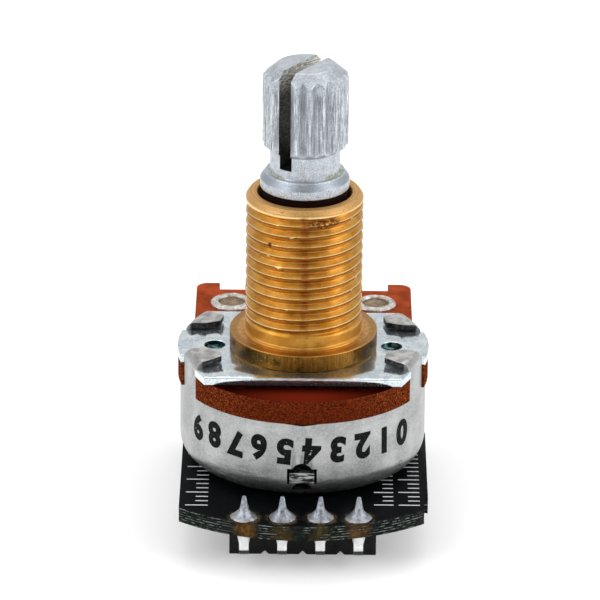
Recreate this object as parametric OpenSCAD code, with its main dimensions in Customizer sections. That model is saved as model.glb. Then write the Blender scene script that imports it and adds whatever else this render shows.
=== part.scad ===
// Rotary potentiometer of the 17 mm class, on a small circuit board with a four way header.
// The origin is on the shaft axis, in the face of the bush flange that seats on a panel.
// +Z runs up the shaft, and -Y points to the side of the header. All lengths are in millimetres.

/* [Shaft] */
// Diameter of the plain journal that turns in the bush
shaft_d = 6; // [5.6:0.1:6.2]
// Radial step from the journal in to the crests of the splines
spline_step = 0.12; // [0.05:0.01:0.3]
// Number of splines round the shaft
spline_count = 18; // [12:1:24]
// Depth of the V groove between two splines
spline_depth = 0.34; // [0.1:0.02:0.4]
// Angle between the flanks of a V groove
spline_angle = 80; // [60:5:90]
// Length of the splined stretch at its full diameter
spline_len = 4.7; // [3:0.1:8]
// Height of the bevel at the lower end of the splines
spline_bevel_h = 0.4; // [0.2:0.05:0.8]
// Radial step from the crests of the splines in to the neck
neck_step = 0.53; // [0.45:0.01:0.7]
// Height of the neck
neck_h = 1.6; // [0.8:0.1:3]
// Width of the chamfer round the top of the shaft
tip_chamfer_w = 0.93; // [0.4:0.01:1.2]
// Height of the chamfer round the top of the shaft
tip_chamfer_h = 0.8; // [0.3:0.05:1.2]
// Height of the journal that stands out of the bush
journal_stand = 1.5; // [0.8:0.1:3]
// Height of the chamfer round the top of the journal
journal_chamfer_h = 0.5; // [0.1:0.05:0.7]
// Width of the chamfer round the top of the journal
journal_chamfer_w = 0.35; // [0.1:0.05:0.4]
// Width of the saw slot across the shaft
slot_w = 0.95; // [0.6:0.05:1.4]
// Height of the uncut neck left under the saw slot
slot_floor_h = 0.65; // [0.2:0.05:0.8]
// Direction of the saw slot, turned from the front towards the left
slot_angle = 34; // [0:1:90]
// Radial step from the journal in to the drive end that holds the rotor
drive_step = 0.6; // [0.4:0.05:0.8]
// Depth of the flat on the drive end
drive_flat_depth = 0.5; // [0.3:0.05:0.8]
// Diameter of the thrust pin under the drive end
thrust_d = 2; // [1:0.1:3]

/* [Bush] */
// Wall of the barrel, from the journal to the crests of the thread
bush_wall = 0.95; // [0.85:0.05:1.2]
// Length of the bush above the panel seat
bush_len = 10; // [6:0.5:14]
// Width of the flange round the barrel
flange_rim = 1.05; // [0.6:0.05:1.2]
// Thickness of the flange
flange_t = 1.2; // [0.8:0.1:2]
// Radial clearance of the shaft in the bore
bore_gap = 0.03; // [0.02:0.01:0.08]
// Width of the countersink at the top of the bore, round the journal
mouth_w = 0.28; // [0.15:0.01:0.45]
// Depth of the countersink
mouth_depth = 0.9; // [0.3:0.1:1.4]
// Chamfer round the top of the thread
bush_chamfer = 0.25; // [0.1:0.05:0.35]
// Rise of the thread in one turn
thread_pitch = 0.75; // [0.6:0.05:1]
// Depth of the thread below its crests
thread_depth = 0.33; // [0.1:0.01:0.36]
// Flat on each crest of the thread
thread_crest = 0.2; // [0.1:0.02:0.3]
// Flat at the root of the thread
thread_root = 0.12; // [0.05:0.01:0.15]
// Length of the plain barrel left between the flange and the thread, at least
thread_relief = 0.6; // [0.5:0.05:2]
// Length of the plain barrel over the thread, under the top chamfer
thread_lead = 0.3; // [0.1:0.05:0.6]
// Radial step from the barrel in to the tenon that passes through the mounting plate
tenon_step = 0.25; // [0.15:0.05:0.4]
// Width of the riveted lip round the tenon, under the plate
rivet_lip = 0.45; // [0.4:0.05:0.5]
// Height of the riveted head
rivet_h = 0.4; // [0.2:0.05:0.6]
// Thickness of the retaining ring
ring_t = 0.5; // [0.3:0.05:0.6]
// Width of the retaining ring that stands out of its groove
ring_out = 0.7; // [0.3:0.05:0.8]
// Opening of the retaining ring
ring_opening = 3.4; // [2:0.1:4]

/* [Mounting plate] */
// Distance by which the round sides of the plate stand past the wafer
plate_over = 0.05; // [0:0.01:0.2]
// Thickness of the plate
plate_t = 0.55; // [0.4:0.05:0.8]
// Distance from the flange to the front edge
plate_front_land = 0.95; // [0.5:0.05:1.4]
// Distance from the flange to the rear edge
plate_rear_land = 0.46; // [0.2:0.02:0.8]
// Distance from the round sides in to the ends of the straight front edge
corner_inset = 1.95; // [1.7:0.05:2.5]
// Distance from the round sides in to where the front bevels meet them
shoulder_inset = 1.25; // [1.15:0.05:1.4]
// Diameter of the two locating pips
pip_d = 1.4; // [1:0.1:1.6]
// Distance from the flange to the middle of each pip
pip_stand = 1; // [0.9:0.1:1.2]
// Distance of the pips behind the axis
pip_y = -0.3; // [-0.5:0.1:0.3]
// Depth to which a pip is pressed
pip_depth = 0.35; // [0.2:0.05:0.4]

/* [Element wafer] */
// Distance by which the wafer stands past the can
wafer_over = 0.15; // [0.05:0.05:0.3]
// Thickness of the wafer
wafer_t = 1.65; // [1.2:0.05:2]
// Width of the tail past the middle of the outer eyelets
tail_side = 2.5; // [2.3:0.1:2.7]
// Length of the tail behind the middle of the eyelets
tail_land = 3.75; // [3.4:0.05:4]
// Radius of the two tail corners
tail_corner_r = 0.8; // [0.3:0.1:1.2]
// Width of each notch in the rear edge
notch_w = 1.8; // [1.5:0.1:2.2]
// Depth of each notch
notch_depth = 1.15; // [0.6:0.05:1.4]
// Thickness of the printed films
film_t = 0.05; // [0.03:0.01:0.1]
// Gap between the carbon track and the collector ring
film_space = 0.4; // [0.3:0.05:0.5]
// Width of the carbon track
track_w = 1.1; // [0.8:0.1:1.2]
// Distance from the wafer's hole to the collector ring
collector_land = 0.25; // [0.2:0.05:0.4]
// Width of the collector ring
collector_w = 0.8; // [0.5:0.1:0.9]

/* [Rotor and wiper] */
// Full travel of the shaft in degrees
travel = 300; // [270:5:310]
// Distance by which the carbon track stands past the rim of the rotor
rotor_inset = 0.55; // [0.3:0.05:0.8]
// Thickness of the rotor disc
rotor_t = 1.2; // [0.8:0.1:1.6]
// Wall of the rotor's hub round the drive end
hub_wall = 1; // [0.8:0.1:1.1]
// Height of the hub above the disc
hub_h = 0.7; // [0.4:0.1:0.9]
// Height of the room for the wiper between wafer and rotor disc
wiper_room = 1.4; // [1.2:0.1:1.6]
// Distance by which the stop lug stands past the rim of the rotor
lug_stand = 1.1; // [1:0.05:1.3]
// Distance from the rim of the rotor in to the inner face of the lug
lug_root = 0.9; // [0.5:0.1:1.5]
// Gap between the lug and the wall of the can
lug_room = 0.55; // [0.3:0.05:0.8]
// Gap between the lug and the floor of the can
floor_room = 0.7; // [0.3:0.1:2]
// Depth of the stop lug below the disc
lug_drop = 2; // [1.4:0.1:2.2]
// Thickness of the wiper spring
wiper_t = 0.2; // [0.1:0.05:0.3]
// Width of each contact finger
finger_w = 0.5; // [0.3:0.1:0.7]
// Length of each contact finger
finger_len = 2.2; // [1.8:0.1:2.6]
// Clearance of the contact noses under the films
contact_gap = 0.02; // [0.01:0.01:0.05]
// Half length of the rounded contact nose
nose_len = 0.35; // [0.2:0.05:0.5]
// Diameter of the two staking pegs
peg_d = 0.7; // [0.5:0.1:0.9]
// Height of the pegs' heads above the wiper
peg_head_h = 0.2; // [0.1:0.05:0.3]

/* [Rear cover] */
// Thickness of the sheet
can_t = 0.4; // [0.3:0.05:0.5]
// Outside radius of the bottom corner
can_corner_r = 1.6; // [1:0.1:2]
// Width of each folded tab
tab_w = 2.2; // [1.6:0.05:2.3]
// Place of each tab on the wall, turned from the front or the rear
tab_place = 66; // [64:1:68]
// Direction in which each tab is folded
tab_fold = 80; // [68:1:90]
// Distance from the middle of the wall to the end of a tab
tab_reach = 1.9; // [1.6:0.1:2.1]
// Width of a tab's cut end
tab_end_w = 1.1; // [0.9:0.1:1.5]
// Length over which a tab narrows to its end
tab_taper = 1.1; // [0.8:0.1:1.4]
// Outside radius of the tab's bend
tab_bend_r = 0.65; // [0.55:0.05:0.8]
// Drop of the bend's centre below the plate's top face
tab_bend_drop = 0.15; // [0.1:0.01:0.2]
// Rise of the tab towards its tip
tab_rise = 0.12; // [0:0.02:0.3]
// Width of the dip in the middle of the front rim
dip_w = 3.4; // [2:0.1:5]
// Depth of that dip
dip_depth = 0.2; // [0.1:0.05:0.4]
// Width of the terminal cutout past the middle of the outer terminals
cutout_side = 1.7; // [1.6:0.05:1.9]
// Depth of that cutout
cutout_depth = 1; // [0.8:0.1:1.4]
// Width of the pressed stop tongue
tongue_w = 1.65; // [1.2:0.05:2]
// Distance from the rotor disc down to the upper shear line of the window
tongue_under = 0.75; // [0.55:0.05:0.8]
// Gap over the tongue
tongue_top_gap = 0.36; // [0.2:0.02:0.5]
// Gap at each side of the tongue
tongue_side_gap = 0.17; // [0.1:0.01:0.3]
// Height of the tongue
tongue_h = 0.45; // [0.3:0.01:0.6]
// Height over which the tongue runs into the wall below it
tongue_root = 0.1; // [0.05:0.05:0.15]
// Height of the sheet between the tongue's root and the lower arch
tongue_land = 0.1; // [0.05:0.05:0.2]
// Length by which the side gaps run on below the tongue
tongue_cut = 0.35; // [0.1:0.05:0.45]
// Gap between the rim of the rotor and the tongue's end
tongue_room = 0.6; // [0.4:0.05:0.8]
// Depth of the tongue's outer face behind the wall's outer face
tongue_sink = 0.18; // [0.05:0.01:0.25]
// Width of the arched hole over the tongue
arch_w = 1.3; // [0.9:0.05:1.5]
// Height of the upper arch
upper_arch_h = 0.42; // [0.2:0.02:0.6]
// Width of the arched hole under the tongue
lower_arch_w = 1.4; // [1.1:0.05:1.45]
// Height of the lower arch
lower_arch_h = 0.7; // [0.5:0.05:0.7]

/* [Terminals] */
// Distance between terminals
terminal_pitch = 5; // [4.9:0.05:5.1]
// Distance of the middle of the eyelets inside the can's outer face
eyelet_inset = 0.3; // [0.05:0.05:0.35]
// Diameter of the eyelet flange
eyelet_flange_d = 2.84; // [2.4:0.02:3]
// Height of the upper eyelet flange
eyelet_flange_h = 0.3; // [0.2:0.05:0.4]
// Diameter of the hole through the eyelet
eyelet_bore_d = 1.8; // [1.4:0.1:1.9]
// Thickness of the eyelet wall
eyelet_wall = 0.15; // [0.1:0.01:0.2]
// Diameter of the eyelet's lower head
eyelet_head_d = 2.5; // [2.3:0.1:2.6]
// Height of the eyelet's lower head
eyelet_head_h = 0.25; // [0.15:0.05:0.35]
// Thickness of the terminal strip
terminal_t = 0.3; // [0.2:0.05:0.4]
// Diameter of the terminal's ring
terminal_ring_d = 3; // [2.7:0.1:3.2]
// Width of the terminal strip
terminal_w = 1.4; // [1.2:0.1:1.7]
// Width of the terminal where it passes through the board
terminal_tip_w = 1.1; // [0.8:0.1:1.2]
// Height of the terminal's shoulders above its solder
shoulder_gap = 0.3; // [0.1:0.1:1]
// Outside radius of the terminal's bend
terminal_bend_r = 0.6; // [0.5:0.1:1]
// Distance from the eyelets back to the upright terminals
terminal_run = 2.85; // [2.65:0.05:2.95]

/* [Circuit board] */
// Distance of the board's straight sides inside the can's outer face
board_inset = 0.15; // [-0.15:0.05:0.35]
// Thickness of the board
board_t = 1.1; // [0.8:0.1:1.6]
// Reach of the board past the can at the front and the rear
board_over = 3.85; // [3.65:0.05:4.65]
// Distance from the axis to the centre of each curved edge, on its far side
board_arc_shift = 1.1; // [0.6:0.1:3.8]
// Diameter of the header holes in the board
pin_hole_d = 1; // [0.95:0.05:1.2]
// Diameter of the terminal holes in the board
terminal_hole_d = 1.4; // [1.3:0.1:1.6]
// Length of the thin ledge left by the break-off strip on the right edge
ledge_len = 10.6; // [1:0.1:11]
// Reach of that ledge
ledge_w = 0.28; // [0.1:0.02:0.5]
// Distance of the ledge's front end in front of the axis
ledge_front = 7.7; // [6:0.1:8]

/* [Header] */
// Number of pins
pin_count = 4; // [2:1:5]
// Distance between pins, also the height and depth of the block
pin_pitch = 2.54; // [2.5:0.01:2.6]
// Width of a square pin
pin_w = 0.64; // [0.6:0.01:0.65]
// Distance of the upright pins in front of the can
pin_stand = 2.5; // [2.35:0.05:2.65]
// Distance of the block behind the upright pins
block_setback = 2.25; // [1.6:0.05:3]
// Shift of the block to the right
block_shift = 0.1; // [0:0.02:0.2]
// Gap between board and block
block_gap = 0.2; // [0:0.05:0.4]
// Length broken off each end of the block
block_end_trim = 0.15; // [0:0.05:0.3]
// Depth of the V notches between the cells
block_notch = 0.27; // [0.1:0.01:0.4]
// Height of the pin tips above the board
pin_tip_h = 1.6; // [1.2:0.1:2]
// Width of a pin's point
pin_point_w = 0.24; // [0.2:0.02:0.4]
// Length of a pin's point
pin_point_h = 0.86; // [0.5:0.02:1]
// Length of the free pin ends behind the block
pin_free_len = 6; // [4:0.5:8]
// Outside radius of the pin's bend
pin_bend_r = 0.75; // [0.7:0.05:1]
// Base diameter of a solder joint on a header pin
solder_d = 1.72; // [1.5:0.02:2]
// Solder left on the pin's corners at the top of its skirt
solder_film = 0.03; // [0.02:0.01:0.06]
// Height of the solder skirt on a header pin
solder_h = 0.75; // [0.5:0.05:1]
// Height of the solder fillet under the board
solder_back_h = 0.25; // [0.1:0.05:0.4]
// Base diameter of a solder joint on a terminal
terminal_solder_d = 2.1; // [1.9:0.1:2.4]
// Height of the solder skirt on a terminal
terminal_solder_h = 0.8; // [0.5:0.1:1.2]

/* [Fits] */
// Radial clearance between pieces that are pressed, riveted or soldered together
press_gap = 0.01; // [0:0.01:0.03]
// Radial clearance of the locating pips and staking pegs
peg_gap = 0.03; // [0.01:0.01:0.05]
// Gap between the folded tabs and the pieces that they hold
tab_gap = 0.1; // [0.05:0.01:0.15]
// Gap round the riveted head in the wafer
rivet_gap = 0.15; // [0.1:0.05:0.2]
// Axial play at the retaining ring and the thrust pin
end_play = 0.03; // [0.01:0.01:0.06]
// Angle left between lug and tongue at each end of the travel
stop_gap = 0.8; // [0.4:0.1:1.5]

/* [Hidden] */
$fn = 96;

// A little more than nothing, for cutters that run past a face
eps = 0.01;
// Larger than the whole part, for cutters that take all on one side
big = 60;

// Radii and diameters from the shaft outwards
shaft_r = shaft_d / 2;
spline_d = shaft_d - 2 * spline_step;
neck_d = spline_d - 2 * neck_step;
tip_d = spline_d - 2 * tip_chamfer_w;
drive_d = shaft_d - 2 * drive_step;
drive_r = drive_d / 2;
drive_flat = drive_r - drive_flat_depth;
groove_r = neck_d / 2;
bush_d = shaft_d + 2 * bush_wall;
mouth_d = shaft_d + 2 * mouth_w;
flange_d = bush_d + 2 * flange_rim;
tenon_d = bush_d - 2 * tenon_step;
rivet_d = tenon_d + 2 * rivet_lip;
ring_d = shaft_d + 2 * ring_out;
wafer_hole_r = rivet_d / 2 + rivet_gap;
collector_r = wafer_hole_r + collector_land + collector_w / 2;
track_r = collector_r + collector_w / 2 + film_space + track_w / 2;
hub_d = drive_d + 2 * hub_wall;
rotor_r = track_r + track_w / 2 - rotor_inset;
lug_r = rotor_r + lug_stand;
tongue_inner_r = rotor_r + tongue_room;
can_inner_r = lug_r + lug_room;
can_r = can_inner_r + can_t;
wafer_d = 2 * (can_r + wafer_over);
plate_d = wafer_d + 2 * plate_over;

// Places on the plate and the wafer
plate_front = flange_d / 2 + plate_front_land;
plate_rear = flange_d / 2 + plate_rear_land;
plate_corner_x = plate_d / 2 - corner_inset;
plate_shoulder_x = plate_d / 2 - shoulder_inset;
pip_x = flange_d / 2 + pip_stand;
eyelet_y = can_r - eyelet_inset;
eyelet_r = eyelet_bore_d / 2 + eyelet_wall;
tail_w = 2 * (terminal_pitch + tail_side);
tail_y = eyelet_y + tail_land;
terminal_row_y = eyelet_y + terminal_run;
cutout_half_w = terminal_pitch + cutout_side;

// Places on the circuit board
board_w = 2 * (can_r - board_inset);
board_reach = can_r + board_over;
board_arc_r = board_reach + board_arc_shift;
pin_row_y = can_r + pin_stand;

// Levels from the panel seat downwards
can_h = wiper_room + rotor_t + lug_drop + floor_room + can_t;
plate_top = -flange_t;
plate_bottom = plate_top - plate_t;
bush_bottom = plate_bottom - rivet_h;
wafer_bottom = plate_bottom - wafer_t;
film_bottom = wafer_bottom - film_t;
terminal_bottom = film_bottom - terminal_t;
rotor_top = wafer_bottom - wiper_room;
hub_top = rotor_top + hub_h;
rotor_bottom = rotor_top - rotor_t;
tongue_top = rotor_bottom - tongue_under - tongue_top_gap;
can_bottom = wafer_bottom - can_h;
can_floor = can_bottom + can_t;
board_bottom = can_bottom - board_t;
block_top = board_bottom - block_gap;
block_bottom = block_top - pin_pitch;
pin_axis_z = block_top - pin_pitch / 2;

// Levels from the panel seat upwards
thread_top = bush_len - bush_chamfer - thread_lead;
thread_turns = floor((thread_top - thread_relief + thread_crest) / thread_pitch);
journal_top = bush_len + journal_stand;
neck_top = journal_top + neck_h;
spline_bottom = neck_top + spline_bevel_h;
spline_top = spline_bottom + spline_len;
shaft_top = spline_top + tip_chamfer_h;

// Half angles of the tongue and of the lug that meets it
tongue_half = asin(tongue_w / 2 / tongue_inner_r);
lug_half = (360 - travel) / 2 - tongue_half - stop_gap;

// A point on a circle, with the angle turned from the front towards the right
function from_front(r, a) = [r * sin(a), -r * cos(a)];

// A rectangle between two corners with round corners
module round_rect(x0, x1, y0, y1, r) {
    translate([x0 + r, y0]) square([x1 - x0 - 2 * r, y1 - y0]);
    translate([x0, y0 + r]) square([x1 - x0, y1 - y0 - 2 * r]);
    for (x = [x0 + r, x1 - r], y = [y0 + r, y1 - r]) translate([x, y]) circle(r);
}

// A flat-bottomed arch that stands on y = 0
module arch(w, h) {
    r = (w * w / 4 + h * h) / (2 * h);
    intersection() {
        translate([0, h - r]) circle(r);
        translate([-w / 2, 0]) square([w, h]);
    }
}

// A quarter of a bent sheet in section, open towards the origin of the bend
module quarter_bend(r, t) {
    intersection() {
        difference() {
            circle(r);
            circle(r - t);
        }
        square(r + eps);
    }
}

// The body of a flat piece between two levels
module slab(z0, z1) {
    translate([0, 0, z0]) linear_extrude(z1 - z0) children();
}

// The same shape at the left and right, at the front and rear
module four_ways() {
    for (sx = [0, 1], sy = [0, 1]) mirror([sx, 0]) mirror([0, sy]) children();
}

// Shaft: revolved body with V splines, saw slot, ring groove and flatted drive end

module shaft_profile() {
    groove_top = bush_bottom + end_play;
    groove_bottom = bush_bottom - ring_t - 2 * end_play;
    head_bottom = rotor_bottom - rivet_h;
    polygon([
        [0, shaft_top],
        [tip_d / 2, shaft_top],
        [spline_d / 2, spline_top],
        [spline_d / 2, spline_bottom],
        [neck_d / 2, neck_top],
        [neck_d / 2, journal_top],
        [shaft_r - journal_chamfer_w, journal_top],
        [shaft_r, journal_top - journal_chamfer_h],
        [shaft_r, groove_top],
        [groove_r, groove_top],
        [groove_r, groove_bottom],
        [shaft_r, groove_bottom],
        [shaft_r, hub_top],
        [drive_r, hub_top],
        [drive_r, rotor_bottom],
        [drive_r + rivet_h, rotor_bottom],
        [drive_r + rivet_h, head_bottom],
        [thrust_d / 2, head_bottom],
        [thrust_d / 2, can_floor + end_play],
        [0, can_floor + end_play]]);
}

module spline_groove() {
    r = spline_d / 2;
    half = (spline_depth + eps) * tan(spline_angle / 2);
    slab(neck_top, shaft_top + eps)
        polygon([[r - spline_depth, 0], [r + eps, half], [r + eps, -half]]);
}

module drive_flat_cut(z0, z1, gap) {
    slab(z0, z1) translate([-big / 2, drive_flat + gap]) square([big, big]);
}

module shaft() {
    color("#b9bcc4")
    difference() {
        rotate_extrude() shaft_profile();
        rotate(-slot_angle) {
            for (i = [0:spline_count - 1])
                rotate((i + 0.5) * 360 / spline_count) spline_groove();
            slab(journal_top + slot_floor_h, shaft_top + eps) square([slot_w, big], center = true);
        }
        drive_flat_cut(rotor_bottom, hub_top, 0);
    }
}

// Bushing: flange, threaded barrel and riveted tenon, bored for the shaft

module thread_groove() {
    w = thread_pitch - thread_crest;
    polygon([
        [eps, 0],
        [0, 0],
        [-thread_depth, (thread_root - w) / 2],
        [-thread_depth, (-thread_root - w) / 2],
        [0, -w],
        [eps, -w]]);
}

// The turns of the thread are level grooves, one pitch apart
module bushing() {
    r = bush_d / 2;
    bore_r = shaft_r + bore_gap;
    color("#c98f4a")
    rotate_extrude() difference() {
        polygon([
            [bore_r, bush_bottom],
            [rivet_d / 2, bush_bottom],
            [rivet_d / 2, plate_bottom],
            [tenon_d / 2, plate_bottom],
            [tenon_d / 2, plate_top],
            [flange_d / 2, plate_top],
            [flange_d / 2, 0],
            [r, 0],
            [r, bush_len - bush_chamfer],
            [r - bush_chamfer, bush_len],
            [mouth_d / 2, bush_len],
            [bore_r, bush_len - mouth_depth]]);
        for (i = [0:thread_turns - 1])
            translate([r, thread_top - i * thread_pitch]) thread_groove();
    }
}

// Retaining ring: snaps into the groove of the shaft under the bush

module retaining_ring() {
    top = bush_bottom - end_play;
    color("#77787c")
    slab(top - ring_t, top)
        difference() {
            circle(d = ring_d);
            circle(groove_r + press_gap);
            translate([-ring_opening / 2, 0]) square([ring_opening, big]);
        }
}

// Rear cover: drawn steel can with four folded tabs, and a stop tongue pressed into its wall

module sheet_section() {
    corner_r = can_corner_r;
    wall_bottom = can_bottom + corner_r;
    bend_x = can_r - tab_bend_r;
    bend_z = plate_top - tab_bend_drop;
    flap_z = bend_z + tab_bend_r;
    translate([0, can_bottom]) square([can_r - corner_r, can_t]);
    translate([can_r - corner_r, wall_bottom]) mirror([0, 1]) quarter_bend(corner_r, can_t);
    translate([can_inner_r, wall_bottom]) square([can_t, bend_z - wall_bottom]);
    translate([bend_x, bend_z]) quarter_bend(tab_bend_r, can_t);
    polygon([
        [bend_x, flap_z - can_t],
        [bend_x, flap_z],
        [flange_d / 2, flap_z + tab_rise],
        [flange_d / 2, flap_z + tab_rise - can_t]]);
}

// Outline of one tab seen from above, widened by a gap where it is cut out of another piece
module tab_outline(gap) {
    foot = from_front((can_r + can_inner_r) / 2, tab_place);
    translate(foot) rotate(tab_fold - 90) {
        half = tab_w / 2 + gap;
        end = tab_end_w / 2 + gap;
        polygon([[can_r, -half], [can_r, half], [tab_taper - tab_reach, half], [-tab_reach - gap, end],
            [-tab_reach - gap, -end], [tab_taper - tab_reach, -half]]);
    }
}

// What a plate or wafer leaves free for the four tabs
module tab_clearance() {
    difference() {
        four_ways() tab_outline(tab_gap);
        circle(can_inner_r - tab_gap);
    }
}

// Window round the stop tongue, drawn on the front of the wall: x along the wall and y upwards
module tongue_window() {
    side = tongue_w / 2 + tongue_side_gap;
    shear = tongue_top + tongue_top_gap;
    bottom = tongue_top - tongue_h;
    arch_bottom = bottom - tongue_root - tongue_land - lower_arch_h;
    translate([0, shear - eps]) arch(arch_w, upper_arch_h + eps);
    translate([-side, bottom]) square([2 * side, shear - bottom]);
    for (x = [-side, side - tongue_side_gap])
        translate([x, bottom - tongue_cut]) square([tongue_side_gap, tongue_cut + eps]);
    translate([0, arch_bottom]) arch(lower_arch_w, lower_arch_h);
}

module stop_tongue() {
    slab(tongue_top - tongue_h - tongue_root, tongue_top)
        translate([-tongue_w / 2, -can_r + tongue_sink])
            square([tongue_w, can_r - tongue_inner_r - tongue_sink]);
}

module rear_cover() {
    color("#c4c6c8") {
        difference() {
            intersection() {
                rotate_extrude() sheet_section();
                union() {
                    slab(can_bottom - eps, wafer_bottom) circle(can_r + 1);
                    slab(wafer_bottom - eps, 0) four_ways() tab_outline(0);
                }
            }
            translate([0, -can_inner_r / 2, 0]) rotate([90, 0, 0])
                linear_extrude(can_r) {
                    tongue_window();
                    translate([0, wafer_bottom])
                        polygon([[-dip_w / 2, eps], [0, -dip_depth], [dip_w / 2, eps]]);
                }
            slab(wafer_bottom - cutout_depth, wafer_bottom + eps)
                translate([-cutout_half_w, 0]) square([2 * cutout_half_w, can_r + 1]);
        }
        stop_tongue();
    }
}

// Mounting plate: blanked steel with two half-pierced locating pips

module plate_outline() {
    r = plate_d / 2;
    shoulder_y = -sqrt(r * r - plate_shoulder_x * plate_shoulder_x);
    intersection() {
        circle(r);
        translate([-r, shoulder_y]) square([2 * r, plate_rear - shoulder_y]);
    }
    polygon([
        [-plate_shoulder_x, shoulder_y],
        [-plate_corner_x, -plate_front],
        [plate_corner_x, -plate_front],
        [plate_shoulder_x, shoulder_y]]);
}

module pips(r, z0, z1) {
    for (x = [-pip_x, pip_x]) translate([x, pip_y, z0]) cylinder(r = r, h = z1 - z0);
}

module mounting_plate() {
    color("#cfd8de")
    difference() {
        union() {
            slab(plate_bottom, plate_top)
                difference() {
                    plate_outline();
                    circle(tenon_d / 2 + press_gap);
                    tab_clearance();
                }
            pips(pip_d / 2 - peg_gap, plate_bottom - pip_depth, plate_bottom + eps);
        }
        pips(pip_d / 2, plate_top - pip_depth, plate_top + eps);
    }
}

// Wafer: laminate disc with a tail for the three eyelets

module wafer() {
    color("#8c3220")
    difference() {
        slab(wafer_bottom, plate_bottom)
            difference() {
                union() {
                    circle(d = wafer_d);
                    round_rect(-tail_w / 2, tail_w / 2, 0, tail_y, tail_corner_r);
                }
                circle(wafer_hole_r);
                tab_clearance();
                for (i = [-1:1]) {
                    translate([i * terminal_pitch, eyelet_y]) circle(eyelet_r + press_gap);
                    translate([i * terminal_pitch - notch_w / 2, tail_y - notch_depth])
                        square([notch_w, notch_depth + eps]);
                }
            }
        pips(pip_d / 2 + peg_gap, plate_bottom - pip_depth - peg_gap, plate_bottom + eps);
    }
}

// Printed films under the wafer: the carbon track with its two end pads, and the collector ring

module ring_outline(r, w) {
    difference() {
        circle(r + w / 2);
        circle(r - w / 2);
    }
}

// A straight run of film between two points, with a round start
module film_run(p, q, w) {
    translate(p) {
        circle(w / 2);
        rotate(atan2(q[1] - p[1], q[0] - p[0])) translate([0, -w / 2]) square([norm(q - p), w]);
    }
}

module carbon_track() {
    end_angle = (360 - travel) / 2;
    pad_r = terminal_ring_d / 2;
    color("#26262a")
    slab(film_bottom, wafer_bottom)
        difference() {
            union() {
                difference() {
                    ring_outline(track_r, track_w);
                    polygon([
                        [0, 0],
                        2 * track_r * [-tan(end_angle), 1],
                        2 * track_r * [tan(end_angle), 1]]);
                }
                for (s = [-1, 1]) {
                    translate([s * terminal_pitch, eyelet_y]) circle(pad_r);
                    film_run(track_r * [s * sin(end_angle), cos(end_angle)],
                        [s * terminal_pitch, eyelet_y], track_w);
                }
            }
            for (s = [-1, 1]) translate([s * terminal_pitch, eyelet_y]) circle(eyelet_r + press_gap);
        }
}

module collector_ring() {
    color("#b8b8b4")
    slab(film_bottom, wafer_bottom)
        difference() {
            union() {
                ring_outline(collector_r, collector_w);
                translate([0, eyelet_y]) circle(d = terminal_ring_d);
                translate([-collector_w, collector_r]) square([2 * collector_w, eyelet_y - collector_r]);
            }
            translate([0, eyelet_y]) circle(eyelet_r + press_gap);
        }
}

// Rotor: moulded disc with a hub, a stop lug and two staking pegs for the wiper

peg_places = [for (a = [-52, -32]) from_front(collector_r, a)];

module sector_outline(r0, r1, half) {
    intersection() {
        difference() {
            circle(r1);
            circle(r0);
        }
        polygon([[0, 0], 2 * r1 * [-tan(half), 1], 2 * r1 * [tan(half), 1]]);
    }
}

module rotor() {
    color("#4a2f22") {
        difference() {
            union() {
                slab(rotor_bottom, rotor_top) circle(rotor_r);
                slab(rotor_top - eps, hub_top) circle(d = hub_d);
                slab(rotor_bottom - lug_drop, rotor_top)
                    sector_outline(rotor_r - lug_root, lug_r, lug_half);
                for (p = peg_places)
                    translate([p[0], p[1], rotor_top - eps])
                        cylinder(d = peg_d, h = wiper_t + peg_head_h + eps);
            }
            difference() {
                slab(rotor_bottom - eps, hub_top + eps) circle(drive_r + press_gap);
                drive_flat_cut(rotor_bottom - 2 * eps, hub_top + 2 * eps, press_gap);
            }
        }
    }
}

// Wiper: spring bronze plate staked on the rotor, with one finger for each film

module finger(r) {
    nose_z = film_bottom - contact_gap;
    translate([0, -r + finger_w / 2, 0]) rotate([90, 0, 0]) linear_extrude(finger_w)
        polygon([
            [-finger_len, rotor_top],
            [-finger_len, rotor_top + wiper_t],
            [-nose_len, nose_z],
            [nose_len / 2, nose_z],
            [nose_len, nose_z - wiper_t],
            [-nose_len / 2, nose_z - wiper_t]]);
}

module wiper() {
    inner_r = hub_d / 2 + 2 * peg_gap;
    outer_r = track_r + finger_w;
    color("#c2803a") {
        slab(rotor_top, rotor_top + wiper_t)
            difference() {
                intersection() {
                    ring_outline((inner_r + outer_r) / 2, outer_r - inner_r);
                    translate([-outer_r, -outer_r]) square([outer_r - finger_len + eps, outer_r - peg_d]);
                }
                for (p = peg_places) translate(p) circle(peg_d / 2 + peg_gap);
            }
        finger(track_r);
        finger(collector_r);
    }
}

// Eyelets: tubular rivets that clamp the terminals to the wafer

module eyelet(i) {
    top = plate_bottom + eyelet_flange_h;
    bottom = terminal_bottom - eyelet_head_h;
    bore_r = eyelet_bore_d / 2;
    color("#b9b4ac")
    translate([i * terminal_pitch, eyelet_y, 0]) rotate_extrude() polygon([
        [bore_r, bottom],
        [eyelet_head_d / 2, bottom],
        [eyelet_head_d / 2, terminal_bottom],
        [eyelet_r, terminal_bottom],
        [eyelet_r, plate_bottom],
        [eyelet_flange_d / 2, plate_bottom],
        [eyelet_flange_d / 2, plate_bottom + eyelet_flange_h / 2],
        [eyelet_flange_d / 2 - eyelet_flange_h / 2, top],
        [bore_r + eyelet_flange_h / 3, top],
        [bore_r, top - eyelet_flange_h / 3]]);
}

module eyelet_left() { eyelet(-1); }
module eyelet_middle() { eyelet(0); }
module eyelet_right() { eyelet(1); }

// Terminals: tinned strips bent down behind the can and through the board

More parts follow.
